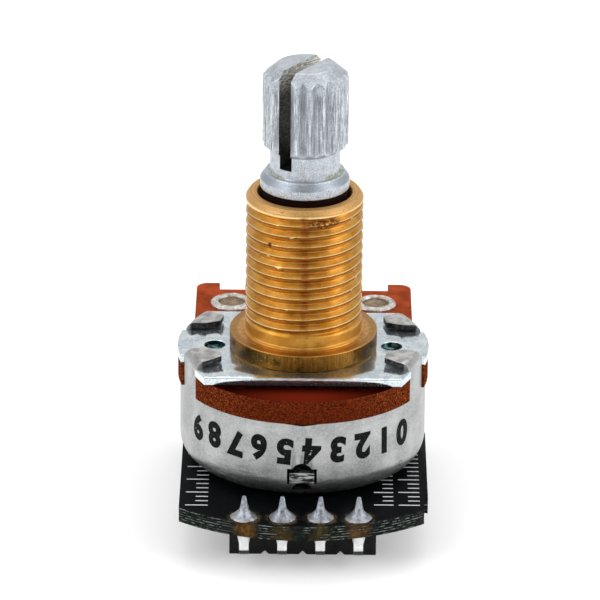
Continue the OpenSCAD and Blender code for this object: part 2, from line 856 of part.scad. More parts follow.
module terminal(i) {
    face_y = terminal_row_y + terminal_t / 2;
    bend_y = face_y - terminal_bend_r;
    bend_z = film_bottom - terminal_bend_r;
    shoulder_z = can_bottom + terminal_solder_h + shoulder_gap;
    color("#bdbab4")
    translate([i * terminal_pitch, 0, 0]) {
        slab(terminal_bottom, film_bottom)
            difference() {
                union() {
                    translate([0, eyelet_y]) circle(d = terminal_ring_d);
                    translate([-terminal_w / 2, eyelet_y]) square([terminal_w, bend_y - eyelet_y]);
                }
                translate([0, eyelet_y]) circle(eyelet_r + press_gap);
            }
        translate([-terminal_w / 2, bend_y, bend_z]) rotate([90, 0, 90])
            linear_extrude(terminal_w) quarter_bend(terminal_bend_r, terminal_t);
        translate([-terminal_w / 2, face_y - terminal_t, shoulder_z])
            cube([terminal_w, terminal_t, bend_z - shoulder_z]);
        translate([-terminal_tip_w / 2, face_y - terminal_t, block_bottom])
            cube([terminal_tip_w, terminal_t, shoulder_z - block_bottom]);
    }
}

module terminal_left() { terminal(-1); }
module terminal_middle() { terminal(0); }
module terminal_right() { terminal(1); }

// Circuit board: straight sides, curved front and rear, and the ledge of a break-off strip

function pin_x(i) = (i - (pin_count + 1) / 2) * pin_pitch;

module circuit_board() {
    arc_y = board_arc_r - board_reach;
    color("#17181a")
    slab(board_bottom, can_bottom)
        difference() {
            union() {
                intersection() {
                    square([board_w, big], center = true);
                    translate([0, arc_y]) circle(board_arc_r);
                    translate([0, -arc_y]) circle(board_arc_r);
                }
                translate([board_w / 2 - eps, -ledge_front]) square([ledge_w + eps, ledge_len]);
            }
            for (i = [1:pin_count]) translate([pin_x(i), -pin_row_y]) circle(d = pin_hole_d);
            for (i = [-1:1])
                translate([i * terminal_pitch, terminal_row_y]) circle(d = terminal_hole_d);
        }
}

// Header: moulded block with square pins bent back under the board

module header_block() {
    front = -pin_row_y + block_setback;
    length = pin_count * pin_pitch;
    color("#141416")
    difference() {
        translate([block_shift - length / 2 + block_end_trim, front, block_bottom])
            cube([length - 2 * block_end_trim, pin_pitch, pin_pitch]);
        for (i = [1:pin_count - 1], z = [block_top, block_bottom])
            translate([block_shift + (pin_x(i) + pin_x(i + 1)) / 2, front - eps, z])
                rotate([0, 45, 0]) translate([-block_notch / sqrt(2), 0, -block_notch / sqrt(2)])
                    cube([block_notch * sqrt(2), pin_pitch + 2 * eps, block_notch * sqrt(2)]);
        for (i = [1:pin_count])
            translate([pin_x(i), front + pin_pitch / 2, pin_axis_z])
                cube([pin_w + 2 * press_gap, pin_pitch + 2 * eps, pin_w + 2 * press_gap], center = true);
    }
}

// Side view of a header pin, with y to the rear and z up
module pin_side() {
    h = pin_w / 2;
    top = can_bottom + pin_tip_h;
    point = pin_point_w / 2;
    bend_y = -pin_row_y - h + pin_bend_r;
    bend_z = pin_axis_z - h + pin_bend_r;
    free_y = -pin_row_y + block_setback + pin_pitch + pin_free_len;
    bend = [for (a = [270:-15:180]) [bend_y, bend_z] + pin_bend_r * [cos(a), sin(a)]];
    polygon(concat(bend, [
        [-pin_row_y - h, top - pin_point_h],
        [-pin_row_y - point, top],
        [-pin_row_y + point, top],
        [-pin_row_y + h, top - pin_point_h],
        [-pin_row_y + h, pin_axis_z + h],
        [free_y - h, pin_axis_z + h],
        [free_y, pin_axis_z + h / 2],
        [free_y, pin_axis_z - h / 2],
        [free_y - h, pin_axis_z - h]]));
}

// What the point loses at its left and right side, seen from the front
module point_cut() {
    slope = (pin_w - pin_point_w) / 2 / pin_point_h;
    top = can_bottom + pin_tip_h + 2 * eps;
    low = top - pin_point_h - 4 * eps;
    polygon([[pin_point_w / 2 - 2 * eps * slope, top], [pin_w / 2 + 2 * eps * slope, low],
        [pin_w, low], [pin_w, top]]);
}

module header_pin(i) {
    color("#c9c8c2")
    translate([pin_x(i), 0, 0]) difference() {
        translate([-pin_w / 2, 0, 0]) rotate([90, 0, 90]) linear_extrude(pin_w) pin_side();
        for (side = [0, 1]) mirror([side, 0, 0])
            translate([0, pin_w - pin_row_y, 0]) rotate([90, 0, 0]) linear_extrude(2 * pin_w) point_cut();
    }
}

module header_pin_1() { header_pin(1); }
module header_pin_2() { header_pin(2); }
module header_pin_3() { header_pin(3); }
module header_pin_4() { header_pin(4); }

// Solder joints: a hollow flared skirt on the board, the filled hole and a low fillet underneath

function flare(r0, r1, h, steps) =
    [for (k = [0:steps]) let (u = k / steps) [r1 + (r0 - r1) * (1 - u) * (1 - u), h * u]];

module solder_joint(base_r, neck_r, skirt_h, hole_r, lead_x, lead_y) {
    fill_r = hole_r - press_gap;
    back_r = hole_r + solder_back_h / 2;
    difference() {
        union() {
            translate([0, 0, can_bottom]) rotate_extrude()
                polygon(concat([[0, 0]], flare(base_r, neck_r, skirt_h, 6), [[0, skirt_h]]));
            slab(board_bottom - eps, can_bottom + eps) circle(fill_r);
            translate([0, 0, board_bottom]) mirror([0, 0, 1])
                rotate_extrude() polygon(concat([[0, 0]], flare(back_r, neck_r, solder_back_h, 3),
                    [[0, solder_back_h]]));
        }
        slab(board_bottom - solder_back_h - eps, can_bottom + skirt_h + eps)
            square([lead_x + 2 * press_gap, lead_y + 2 * press_gap], center = true);
    }
}

module pin_solder(i) {
    color("#aeb4bb")
    translate([pin_x(i), -pin_row_y, 0])
        solder_joint(solder_d / 2, pin_w / sqrt(2) + solder_film, solder_h, pin_hole_d / 2, pin_w, pin_w);
}

module pin_solder_1() { pin_solder(1); }
module pin_solder_2() { pin_solder(2); }
module pin_solder_3() { pin_solder(3); }
module pin_solder_4() { pin_solder(4); }

module terminal_solder(i) {
    color("#aeb4bb")
    translate([i * terminal_pitch, terminal_row_y, 0])
        solder_joint(terminal_solder_d / 2, terminal_hole_d / 2 - press_gap, terminal_solder_h,
            terminal_hole_d / 2, terminal_tip_w, terminal_t);
}

module terminal_solder_left() { terminal_solder(-1); }
module terminal_solder_middle() { terminal_solder(0); }
module terminal_solder_right() { terminal_solder(1); }

shaft();
bushing();
retaining_ring();
mounting_plate();
wafer();
carbon_track();
collector_ring();
rotor();
wiper();
rear_cover();
eyelet_left();
eyelet_middle();
eyelet_right();
terminal_left();
terminal_middle();
terminal_right();
circuit_board();
header_block();
header_pin_1();
header_pin_2();
header_pin_3();
header_pin_4();
pin_solder_1();
pin_solder_2();
pin_solder_3();
pin_solder_4();
terminal_solder_left();
terminal_solder_middle();
terminal_solder_right();
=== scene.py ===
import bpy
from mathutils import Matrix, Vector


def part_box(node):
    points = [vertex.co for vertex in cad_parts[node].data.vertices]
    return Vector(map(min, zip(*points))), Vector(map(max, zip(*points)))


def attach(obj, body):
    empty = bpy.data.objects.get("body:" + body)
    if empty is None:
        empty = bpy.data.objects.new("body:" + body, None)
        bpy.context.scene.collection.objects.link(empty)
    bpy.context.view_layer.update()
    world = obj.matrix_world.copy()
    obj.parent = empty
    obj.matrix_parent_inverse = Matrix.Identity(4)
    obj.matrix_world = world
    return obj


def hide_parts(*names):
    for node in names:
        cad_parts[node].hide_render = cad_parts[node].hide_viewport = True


bl_info = {
    "name": "Rotary potentiometer",
    "version": (1, 0, 0),
    "blender": (4, 5, 0),
    "location": "View3D > Sidebar > Potentiometer",
    "description": "Detailed pieces, finishes and a plain studio for a packed rotary potentiometer",
    "category": "Object",
}

import math
import random

import bmesh
import bpy
from bpy.props import FloatProperty, FloatVectorProperty, PointerProperty
from mathutils import Matrix, Quaternion, Vector, noise

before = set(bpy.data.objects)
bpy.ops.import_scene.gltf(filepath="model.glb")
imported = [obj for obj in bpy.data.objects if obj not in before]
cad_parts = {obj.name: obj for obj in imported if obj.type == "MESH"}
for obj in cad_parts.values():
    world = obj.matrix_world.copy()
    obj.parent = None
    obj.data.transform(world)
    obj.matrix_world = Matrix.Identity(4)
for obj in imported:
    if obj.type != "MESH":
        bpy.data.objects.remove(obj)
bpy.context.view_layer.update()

MM = 0.001
TAU = 2 * math.pi

# Levels and radii of the frame, in millimetres
PLATE_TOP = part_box("mounting_plate")[1].z / MM
PLATE_BOTTOM = PLATE_TOP - 0.55
CAN_RADIUS = 8.35
BOARD_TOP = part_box("circuit_board")[1].z / MM
BUSH_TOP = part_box("bushing")[1].z / MM
BUSH_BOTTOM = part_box("bushing")[0].z / MM
SHAFT_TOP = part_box("shaft")[1].z / MM
SHAFT_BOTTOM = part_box("shaft")[0].z / MM
SPLINE_FOOT = 12.9
SLOT_FLOOR = 12.15
DIGIT_ROW_Z = -5.42
INK_FOOT, INK_TOP = 0.002, 0.012
PIN_ROW_Y = -10.85
PIN_PLACES = [(i - 2.5) * 2.54 for i in (1, 2, 3, 4)]
EYELET_ROW_Y = 8.05
EYELET_PLACES = {"left": -5.0, "middle": 0.0, "right": 5.0}


class PotShaft(bpy.types.PropertyGroup):
    groove_depth: FloatProperty(
        name="Groove depth", description="Depth of the V grooves between the splines",
        default=0.42 * MM, min=0.1 * MM, max=0.5 * MM, precision=5, unit="LENGTH")
    slot_width: FloatProperty(
        name="Slot width", description="Width of the saw slot",
        default=0.95 * MM, min=0.5 * MM, max=1.4 * MM, precision=5, unit="LENGTH")
    slot_turn: FloatProperty(
        name="Slot direction", description="Turn of the saw slot from the front towards the left",
        default=math.radians(34), subtype="ANGLE")
    metal: FloatVectorProperty(
        name="Metal", description="Colour of the turned metal",
        default=(0.47, 0.51, 0.56), size=3, min=0, max=1, subtype="COLOR")


class PotBush(bpy.types.PropertyGroup):
    pitch: FloatProperty(
        name="Thread pitch", description="Rise of the thread in one turn",
        default=0.75 * MM, min=0.5 * MM, max=1.0 * MM, precision=5, unit="LENGTH")
    depth: FloatProperty(
        name="Thread depth", description="Depth of the thread below its crests",
        default=0.33 * MM, min=0.1 * MM, max=0.45 * MM, precision=5, unit="LENGTH")
    brass: FloatVectorProperty(
        name="Brass", description="Colour of the clean brass",
        default=(0.62, 0.32, 0.055), size=3, min=0, max=1, subtype="COLOR")


class PotCan(bpy.types.PropertyGroup):
    steel: FloatVectorProperty(
        name="Can steel", description="Colour of the tinned steel sheet",
        default=(0.42, 0.43, 0.425), size=3, min=0, max=1, subtype="COLOR")
    digit_height: FloatProperty(
        name="Digit height", description="Height of the stamped digits",
        default=1.92 * MM, min=1 * MM, max=2.4 * MM, precision=5, unit="LENGTH")
    ink: FloatVectorProperty(
        name="Ink", description="Colour of the stamping ink",
        default=(0.006, 0.006, 0.006), size=3, min=0, max=1, subtype="COLOR")


class PotWafer(bpy.types.PropertyGroup):
    laminate: FloatVectorProperty(
        name="Laminate", description="Colour of the moulded laminate",
        default=(0.33, 0.060, 0.022), size=3, min=0, max=1, subtype="COLOR")


class PotBoard(bpy.types.PropertyGroup):
    mask: FloatVectorProperty(
        name="Solder mask", description="Colour of the board's top face",
        default=(0.0017, 0.0020, 0.0027), size=3, min=0, max=1, subtype="COLOR")
    marks: FloatVectorProperty(
        name="Marks", description="Colour of the printed ticks",
        default=(0.72, 0.76, 0.76), size=3, min=0, max=1, subtype="COLOR")


class PotStage(bpy.types.PropertyGroup):
    distance: FloatProperty(
        name="Camera distance", description="Distance from the camera to the plate",
        default=0.321, min=0.1, max=1.0, unit="LENGTH")
    elevation: FloatProperty(
        name="Camera elevation", description="Angle of the camera above the plate",
        default=math.radians(23.5), subtype="ANGLE")
    roll: FloatProperty(
        name="Camera roll", description="Turn of the camera about its own line of sight",
        default=math.radians(0.58), subtype="ANGLE")
    floor_colour: FloatVectorProperty(
        name="Floor", description="Colour of the floor and the backdrop",
        default=(0.80, 0.80, 0.80), size=3, min=0, max=1, subtype="COLOR")


class PotSettings(bpy.types.PropertyGroup):
    shaft: PointerProperty(type=PotShaft)
    bush: PointerProperty(type=PotBush)
    can: PointerProperty(type=PotCan)
    wafer: PointerProperty(type=PotWafer)
    board: PointerProperty(type=PotBoard)
    stage: PointerProperty(type=PotStage)


# Node materials

class Nodes:
    """Short calls that build one node tree."""

    def __init__(self, tree):
        self.tree = tree

    def add(self, kind, **settings):
        node = self.tree.nodes.new(kind)
        for key, value in settings.items():
            setattr(node, key, value)
        return node

    def feed(self, socket, value):
        if isinstance(value, bpy.types.NodeSocket):
            self.tree.links.new(value, socket)
        elif hasattr(value, "__len__") and len(value) == 3 and socket.type == "RGBA":
            socket.default_value = (*value, 1)
        else:
            socket.default_value = value

    def fill(self, node, *inputs, **named):
        """Feeds a node's first inputs in their order, and others by name."""
        for key, value in (*enumerate(inputs), *named.items()):
            self.feed(node.inputs[key.replace("_", " ") if isinstance(key, str) else key], value)
        return node

    def steps(self, value, low, high, to_low=0.0, to_high=1.0):
        """Rises smoothly from one number to another while the value goes from low to high."""
        node = self.add("ShaderNodeMapRange", interpolation_type="SMOOTHSTEP")
        self.fill(node, Value=value, From_Min=low, From_Max=high, To_Min=to_low, To_Max=to_high)
        return node.outputs[0]

    def calc(self, operation, a, b=0.0, clamp=False):
        node = self.add("ShaderNodeMath", operation=operation, use_clamp=clamp)
        return self.fill(node, a, b).outputs[0]

    def times(self, a, b):
        return self.calc("MULTIPLY", a, b)

    def most(self, a, b):
        return self.calc("MAXIMUM", a, b)

    def plus(self, a, b, clamp=False):
        return self.calc("ADD", a, b, clamp)

    def less(self, a, b, clamp=False):
        return self.calc("SUBTRACT", a, b, clamp)

    def unsigned(self, a):
        return self.calc("ABSOLUTE", a)

    def part(self, name, vector):
        return self.fill(self.add("ShaderNodeSeparateXYZ"), vector).outputs[name]


class Finish(Nodes):
    """A procedural material, built on one Principled shader and object coordinates in millimetres."""

    def __init__(self, name):
        self.material = bpy.data.materials.new(name)
        self.material.use_nodes = True
        super().__init__(self.material.node_tree)
        self.shader = self.tree.nodes["Principled BSDF"]
        place = self.add("ShaderNodeTexCoord").outputs["Object"]
        self.place = self.fill(self.add("ShaderNodeVectorMath", operation="SCALE"), place, Scale=1 / MM).outputs[0]

    def stretched(self, x, y, z, turn=(0, 0, 0)):
        """Coordinates for marks that are long where the number is small."""
        node = self.add("ShaderNodeMapping")
        return self.fill(node, Vector=self.place, Rotation=turn, Scale=(x, y, z)).outputs[0]

    def noise(self, scale, detail=3, rough=0.55, vector=None):
        node = self.add("ShaderNodeTexNoise")
        self.fill(node, Vector=vector or self.place, Scale=scale, Detail=detail, Roughness=rough)
        return node.outputs["Fac"]

    def patches(self, scale, detail, rough, low, high, *to):
        """Noise cut off smoothly, to give spots or patches."""
        return self.steps(self.noise(scale, detail, rough), low, high, *to)

    def cells(self, scale):
        return self.fill(self.add("ShaderNodeTexVoronoi"), Vector=self.place, Scale=scale).outputs["Distance"]

    def blend(self, factor, a, b):
        return self.fill(self.add("ShaderNodeMix", data_type="RGBA"), Factor=factor, A=a, B=b).outputs["Result"]

    def ramp(self, value, low, high, a, b):
        """From one colour to the other as the value goes from low to high."""
        return self.blend(self.steps(value, low, high), a, b)

    def coat(self, where, colour, share=1.0):
        """Lays a colour over the finish where the mask says, as strongly as the share."""
        self.colour = self.blend(self.times(where, share) if share < 1 else where, self.colour, colour)

    def measure(self, operation, a, b=(0, 0, 0)):
        return self.fill(self.add("ShaderNodeVectorMath", operation=operation), a, b)

    def radius(self):
        """Distance from the shaft axis."""
        flat = self.measure("MULTIPLY", self.place, (1, 1, 0)).outputs[0]
        return self.measure("LENGTH", flat).outputs["Value"]

    def near(self, value, centre, half, soft):
        """1 where the value is within half of the centre, 0 beyond the soft edge."""
        return self.steps(self.unsigned(self.less(value, centre)), half, half + soft, 1, 0)

    def axis(self, name):
        return self.part(name, self.place)

    def facing(self, name):
        """Part of the true surface direction along one axis."""
        return self.part(name, self.add("ShaderNodeNewGeometry").outputs["Normal"])

    def spot(self, x, y, z, radius, edge=0.5, squash=(1, 1, 1)):
        """1 near a place on the object, 0 beyond the radius."""
        shift = self.measure("SUBTRACT", self.place, (x, y, z)).outputs[0]
        squeezed = self.measure("MULTIPLY", shift, squash).outputs[0]
        away = self.measure("LENGTH", squeezed).outputs["Value"]
        return self.steps(away, radius * (1 - edge), radius, 1, 0)

    def bump(self, height, depth, normal=None):
        """Adds a bump of so many millimetres."""
        node = self.fill(self.add("ShaderNodeBump"), Height=height, Distance=depth * MM)
        if normal:
            self.feed(node.inputs["Normal"], normal)
        return node.outputs[0]

    def done(self, rough, metallic=0.0, normal=None, **sockets):
        self.fill(self.shader, Base_Color=self.colour, Roughness=rough, Metallic=metallic, **sockets)
        if normal:
            self.feed(self.shader.inputs["Normal"], normal)
        return self.material


def scaled(colour, share):
    """A darker or lighter shade of a colour."""
    return tuple(min(1, c * share) for c in colour)


def turned_metal(name, colour):
    """Light nickel-plated shaft metal: lathe lines, dark pits, yellow-green residue at the steps."""
    f = Finish(name)
    lines = f.noise(1.0, 4, 0.6, f.stretched(0.7, 0.7, 26))
    cloud = f.noise(2.2, 4, 0.6)
    grain = f.noise(16, 2, 0.7)
    pits = f.patches(9.5, 3, 0.55, 0.66, 0.74)
    fine_pits = f.patches(19, 2, 0.6, 0.58, 0.66, 0, 0.85)
    f.colour = f.ramp(cloud, 0.35, 0.7, scaled(colour, 0.80), scaled(colour, 1.16))
    f.coat(f.steps(grain, 0.40, 0.70, 0, 0.65), (0.90, 0.94, 0.97))
    f.coat(f.steps(grain, 0.44, 0.30, 0, 0.55), (0.26, 0.29, 0.31))
    dark = f.most(pits, fine_pits)
    f.coat(dark, (0.10, 0.10, 0.115))
    # Upright drawing marks between the splines, and painted shade in the groove floors
    level = f.axis("Z")
    splined = f.times(f.steps(level, 13.3, 13.7), f.steps(level, 17.95, 17.45))
    drawn = f.noise(1.0, 4, 0.75, f.stretched(13, 13, 0.5))
    f.coat(f.times(splined, f.steps(drawn, 0.50, 0.60, 0, 0.80)), (0.20, 0.21, 0.235))
    f.coat(f.times(splined, f.steps(drawn, 0.48, 0.38, 0, 0.8)), (0.95, 0.98, 1.0))
    # Painted shade: the floors of the grooves are a little darker
    painted_groove_shade = f.times(splined, f.steps(f.radius(), 2.78, 2.60))
    f.coat(painted_groove_shade, (0.20, 0.21, 0.24), 0.12)
    # The cone over the journal is a darker blue-grey
    f.coat(f.near(level, 11.22, 0.16, 0.08), (0.24, 0.28, 0.34), 0.6)
    # Residue at both sides of the neck's foot, and specks round the journal's lower edge
    foot = f.times(f.near(level, 11.62, 0.03, 0.17), f.steps(f.unsigned(f.axis("X")), 1.1, 1.6))
    low = f.near(level, 10.47, 0.02, 0.12)
    patchy = f.patches(3.6, 4, 0.7, 0.46, 0.60)
    specks = f.patches(6.5, 3, 0.7, 0.56, 0.64)
    residue = f.most(f.times(foot, patchy), f.times(low, specks))
    f.coat(residue, (0.30, 0.30, 0.085))
    # Dark brown band on the journal under the collar: grease, with painted shade and a painted dark reflection of
    # the bush mouth
    uneven = f.plus(level, f.times(cloud, 0.05))
    # Painted shade and reflection mixed with grease, just above the bush
    grease_and_painted_shade = f.times(f.steps(uneven, 10.42, 10.38), f.steps(level, 8.2, 8.4))
    f.coat(grease_and_painted_shade, (0.012, 0.003, 0.002))
    residue = f.most(residue, grease_and_painted_shade)
    rough = f.steps(f.plus(cloud, f.times(grain, 0.4)), 0.3, 1.1, 0.24, 0.50)
    rough = f.plus(rough, f.times(residue, 0.4), True)
    bump = f.bump(lines, 0.006)
    bump = f.bump(f.less(grain, f.times(dark, 0.9)), 0.012, bump)
    bump = f.bump(f.times(drawn, splined), 0.035, bump)
    metallic = f.less(0.92, f.times(residue, 0.9), True)
    return f.done(rough, metallic, bump, Specular_IOR_Level=0.08)


def sawn_metal(name):
    """Dark wall of the saw slot with slanted saw marks: painted light on the marks near the top, and painted shade
    lower down and at the floor.
    """
    f = Finish(name)
    # Rising from front to rear along the slot
    turn = (math.radians(-50), 0, math.radians(34))
    marks = f.noise(1.0, 3, 0.7, f.stretched(0.4, 3.2, 22, turn))
    level = f.axis("Z")
    # Painted light: lit copies of the saw marks near the top of the slot, shaded copies lower down
    painted_top_light = f.steps(f.plus(level, f.times(marks, 1.6)), 17.9, 19.6)
    dull = f.ramp(marks, 0.40, 0.66, (0.028, 0.026, 0.023), (0.15, 0.145, 0.13))
    bright = f.ramp(marks, 0.40, 0.60, (0.16, 0.15, 0.12), (0.90, 0.90, 0.86))
    f.colour = f.blend(painted_top_light, dull, bright)
    # Painted shade at the floor of the slot
    bottom = f.steps(level, 12.30, 12.17)
    f.coat(bottom, (0.030, 0.028, 0.026))
    return f.done(f.steps(marks, 0.3, 0.7, 0.5, 0.3), 0.75, f.bump(marks, 0.03))


def turned_brass(name, colour):
    """Turned brass: crests with painted highlights on their edges and a painted dark reflection on their lands,
    golden flanks, brown tarnish on the flange and stains in a few grooves.
    """
    f = Finish(name)
    level = f.axis("Z")
    away = f.radius()
    cloud = f.noise(0.9, 4, 0.6)
    grain = f.noise(14, 3, 0.65)
    streaks = f.noise(1.0, 4, 0.65, f.stretched(9, 9, 0.5))
    warm = tuple(min(1, c * k) for c, k in zip(colour, (1.12, 1.16, 1.40)))
    deep = tuple(c * k for c, k in zip(colour, (0.78, 0.66, 0.45)))
    f.colour = f.ramp(cloud, 0.3, 0.7, deep, warm)
    f.coat(f.steps(grain, 0.45, 0.8, 0, 0.35), warm)
    # Painted highlights on the crest edges and a painted dark reflection on the lands of the crests, and a paler
    # dull rim at the top
    wall = f.times(f.steps(level, 0.95, 1.25), f.steps(away, 4.02, 3.98))
    painted_crest_reflection = f.times(f.steps(away, 3.932, 3.942), f.times(wall, f.steps(level, 9.45, 9.30)))
    edges = f.times(f.steps(away, 3.86, 3.90), f.times(wall, f.less(1, painted_crest_reflection)))
    # Painted dark reflection on the crest lands, painted highlights along the crest edges
    f.coat(painted_crest_reflection, (0.17, 0.070, 0.010), 0.90)
    f.coat(edges, (0.95, 0.68, 0.32), 0.85)
    top = f.steps(level, 9.50, 9.64)
    f.coat(top, (0.60, 0.35, 0.125))
    f.coat(f.times(top, f.patches(7, 4, 0.7, 0.50, 0.66, 0, 0.5)), (0.36, 0.17, 0.05))
    rings = f.most(f.near(away, 3.36, 0.02, 0.05), f.near(away, 3.60, 0.01, 0.05))
    f.coat(f.times(top, rings), (0.30, 0.14, 0.035), 0.45)
    # Painted dark reflection: a reddish streak up the front of the thread
    painted_front_reflection = f.times(f.near(f.axis("X"), 0.05, 0.10, 0.32), f.steps(f.axis("Y"), -3.0, -3.3))
    painted_front_reflection = f.times(painted_front_reflection, f.patches(2.2, 4, 0.6, 0.36, 0.60, 0.1, 0.75))
    # Painted reflection, kept off the top rim
    f.coat(f.times(painted_front_reflection, f.less(1, top)), (0.40, 0.13, 0.030))
    # Brown stains: one in the top groove right of the middle, others here and there
    stain = f.spot(1.3, -3.70, 8.95, 1.8, 0.6, (1, 1, 3.6))
    stain = f.times(stain, f.patches(4.5, 4, 0.7, 0.38, 0.54))
    small = f.times(f.patches(3.0, 5, 0.7, 0.62, 0.72), 0.6)
    stain = f.most(stain, small)
    # Two nicks on the left of the thread
    for x, z in ((-2.30, 7.25), (-1.45, 5.45)):
        stain = f.most(stain, f.spot(x, -math.sqrt(15.2 - x * x), z, 0.30, 0.5, (1.6, 1, 1)))
    f.coat(stain, (0.15, 0.040, 0.010))
    # Darker top of the flange with a painted shadow ring, brown tarnish on its rim with upright streaks and dark
    # patches
    flat = f.steps(f.unsigned(f.facing("Z")), 0.25, 0.75)
    table = f.times(flat, f.times(f.near(level, 0.0, 0.06, 0.04), f.steps(away, 3.95, 4.05)))
    shade = f.blend(f.patches(2.6, 4, 0.7, 0.38, 0.62), (0.40, 0.20, 0.050), (0.56, 0.32, 0.095))
    # Painted shadow: a dark ring band across the flange's top
    shade = f.blend(f.times(f.near(away, 4.72, 0.16, 0.16), 0.6), shade, (0.22, 0.085, 0.015))
    shade = f.blend(f.times(f.near(away, 5.05, 0.01, 0.07), 0.5), shade, (0.14, 0.06, 0.012))
    f.coat(table, shade, 0.85)
    rim = f.times(f.steps(level, 0.0, -0.10), f.less(1, flat))
    patch = f.most(f.patches(1.1, 4, 0.65, 0.50, 0.66), f.spot(-3.3, -3.75, -0.6, 1.4, 0.7))
    patch = f.most(patch, f.spot(4.4, -2.4, -0.6, 1.3, 0.7))
    tarnish = f.ramp(streaks, 0.30, 0.70, (0.17, 0.072, 0.010), (0.31, 0.145, 0.028))
    tarnish = f.blend(patch, tarnish, (0.075, 0.042, 0.008))
    tarnish = f.blend(f.patches(11, 2, 0.6, 0.62, 0.72, 0, 0.7), tarnish, (0.66, 0.40, 0.13))
    f.coat(rim, tarnish)
    rough = f.plus(f.steps(grain, 0.3, 0.8, 0.32, 0.44), f.times(stain, 0.35), True)
    rough = f.less(rough, f.times(edges, 0.12), True)
    rough = f.plus(rough, f.times(top, 0.16), True)
    lathe = f.noise(1.0, 3, 0.7, f.stretched(0.5, 0.5, 34))
    bump = f.bump(lathe, 0.006)
    bump = f.bump(f.less(grain, stain), 0.008, bump)
    bump = f.bump(f.times(streaks, rim), 0.012, bump)
    dull = f.most(f.times(stain, 0.45), f.times(top, 0.35))
    return f.done(rough, f.less(1.0, dull), bump, Specular_IOR_Level=0.2)


def zinc_sheet(name):
    """Bright blue-white zinc plate, almost a mirror, mottled."""
    f = Finish(name)
    cloud = f.noise(1.3, 5, 0.65)
    fleck = f.noise(9, 3, 0.6)
    spots = f.patches(13, 2, 0.6, 0.64, 0.72)
    f.colour = f.ramp(cloud, 0.3, 0.7, (0.52, 0.62, 0.68), (0.86, 0.93, 0.96))
    f.coat(f.steps(fleck, 0.42, 0.72, 0, 0.7), (0.95, 0.98, 0.99))
    f.coat(f.patches(4.5, 4, 0.7, 0.56, 0.68, 0, 0.55), (0.30, 0.37, 0.41))
    f.coat(spots, (0.13, 0.15, 0.17), 0.8)
    # Painted reflection of the flange: darker olive grey just in front of it
    # Painted reflection of the flange in the plate
    shade = f.spot(0, -4.9, PLATE_TOP, 4.6, 0.7, (0.85, 1.9, 1))
    shade = f.times(shade, f.steps(f.axis("Y"), -5.9, -5.5, 0.3, 1))
    f.coat(shade, (0.30, 0.32, 0.28), 0.75)
    rough = f.steps(f.plus(cloud, f.times(fleck, 0.6)), 0.4, 1.2, 0.03, 0.14)
    bump = f.bump(f.less(fleck, spots), 0.006, f.bump(cloud, 0.006))
    return f.done(rough, 0.95, bump)


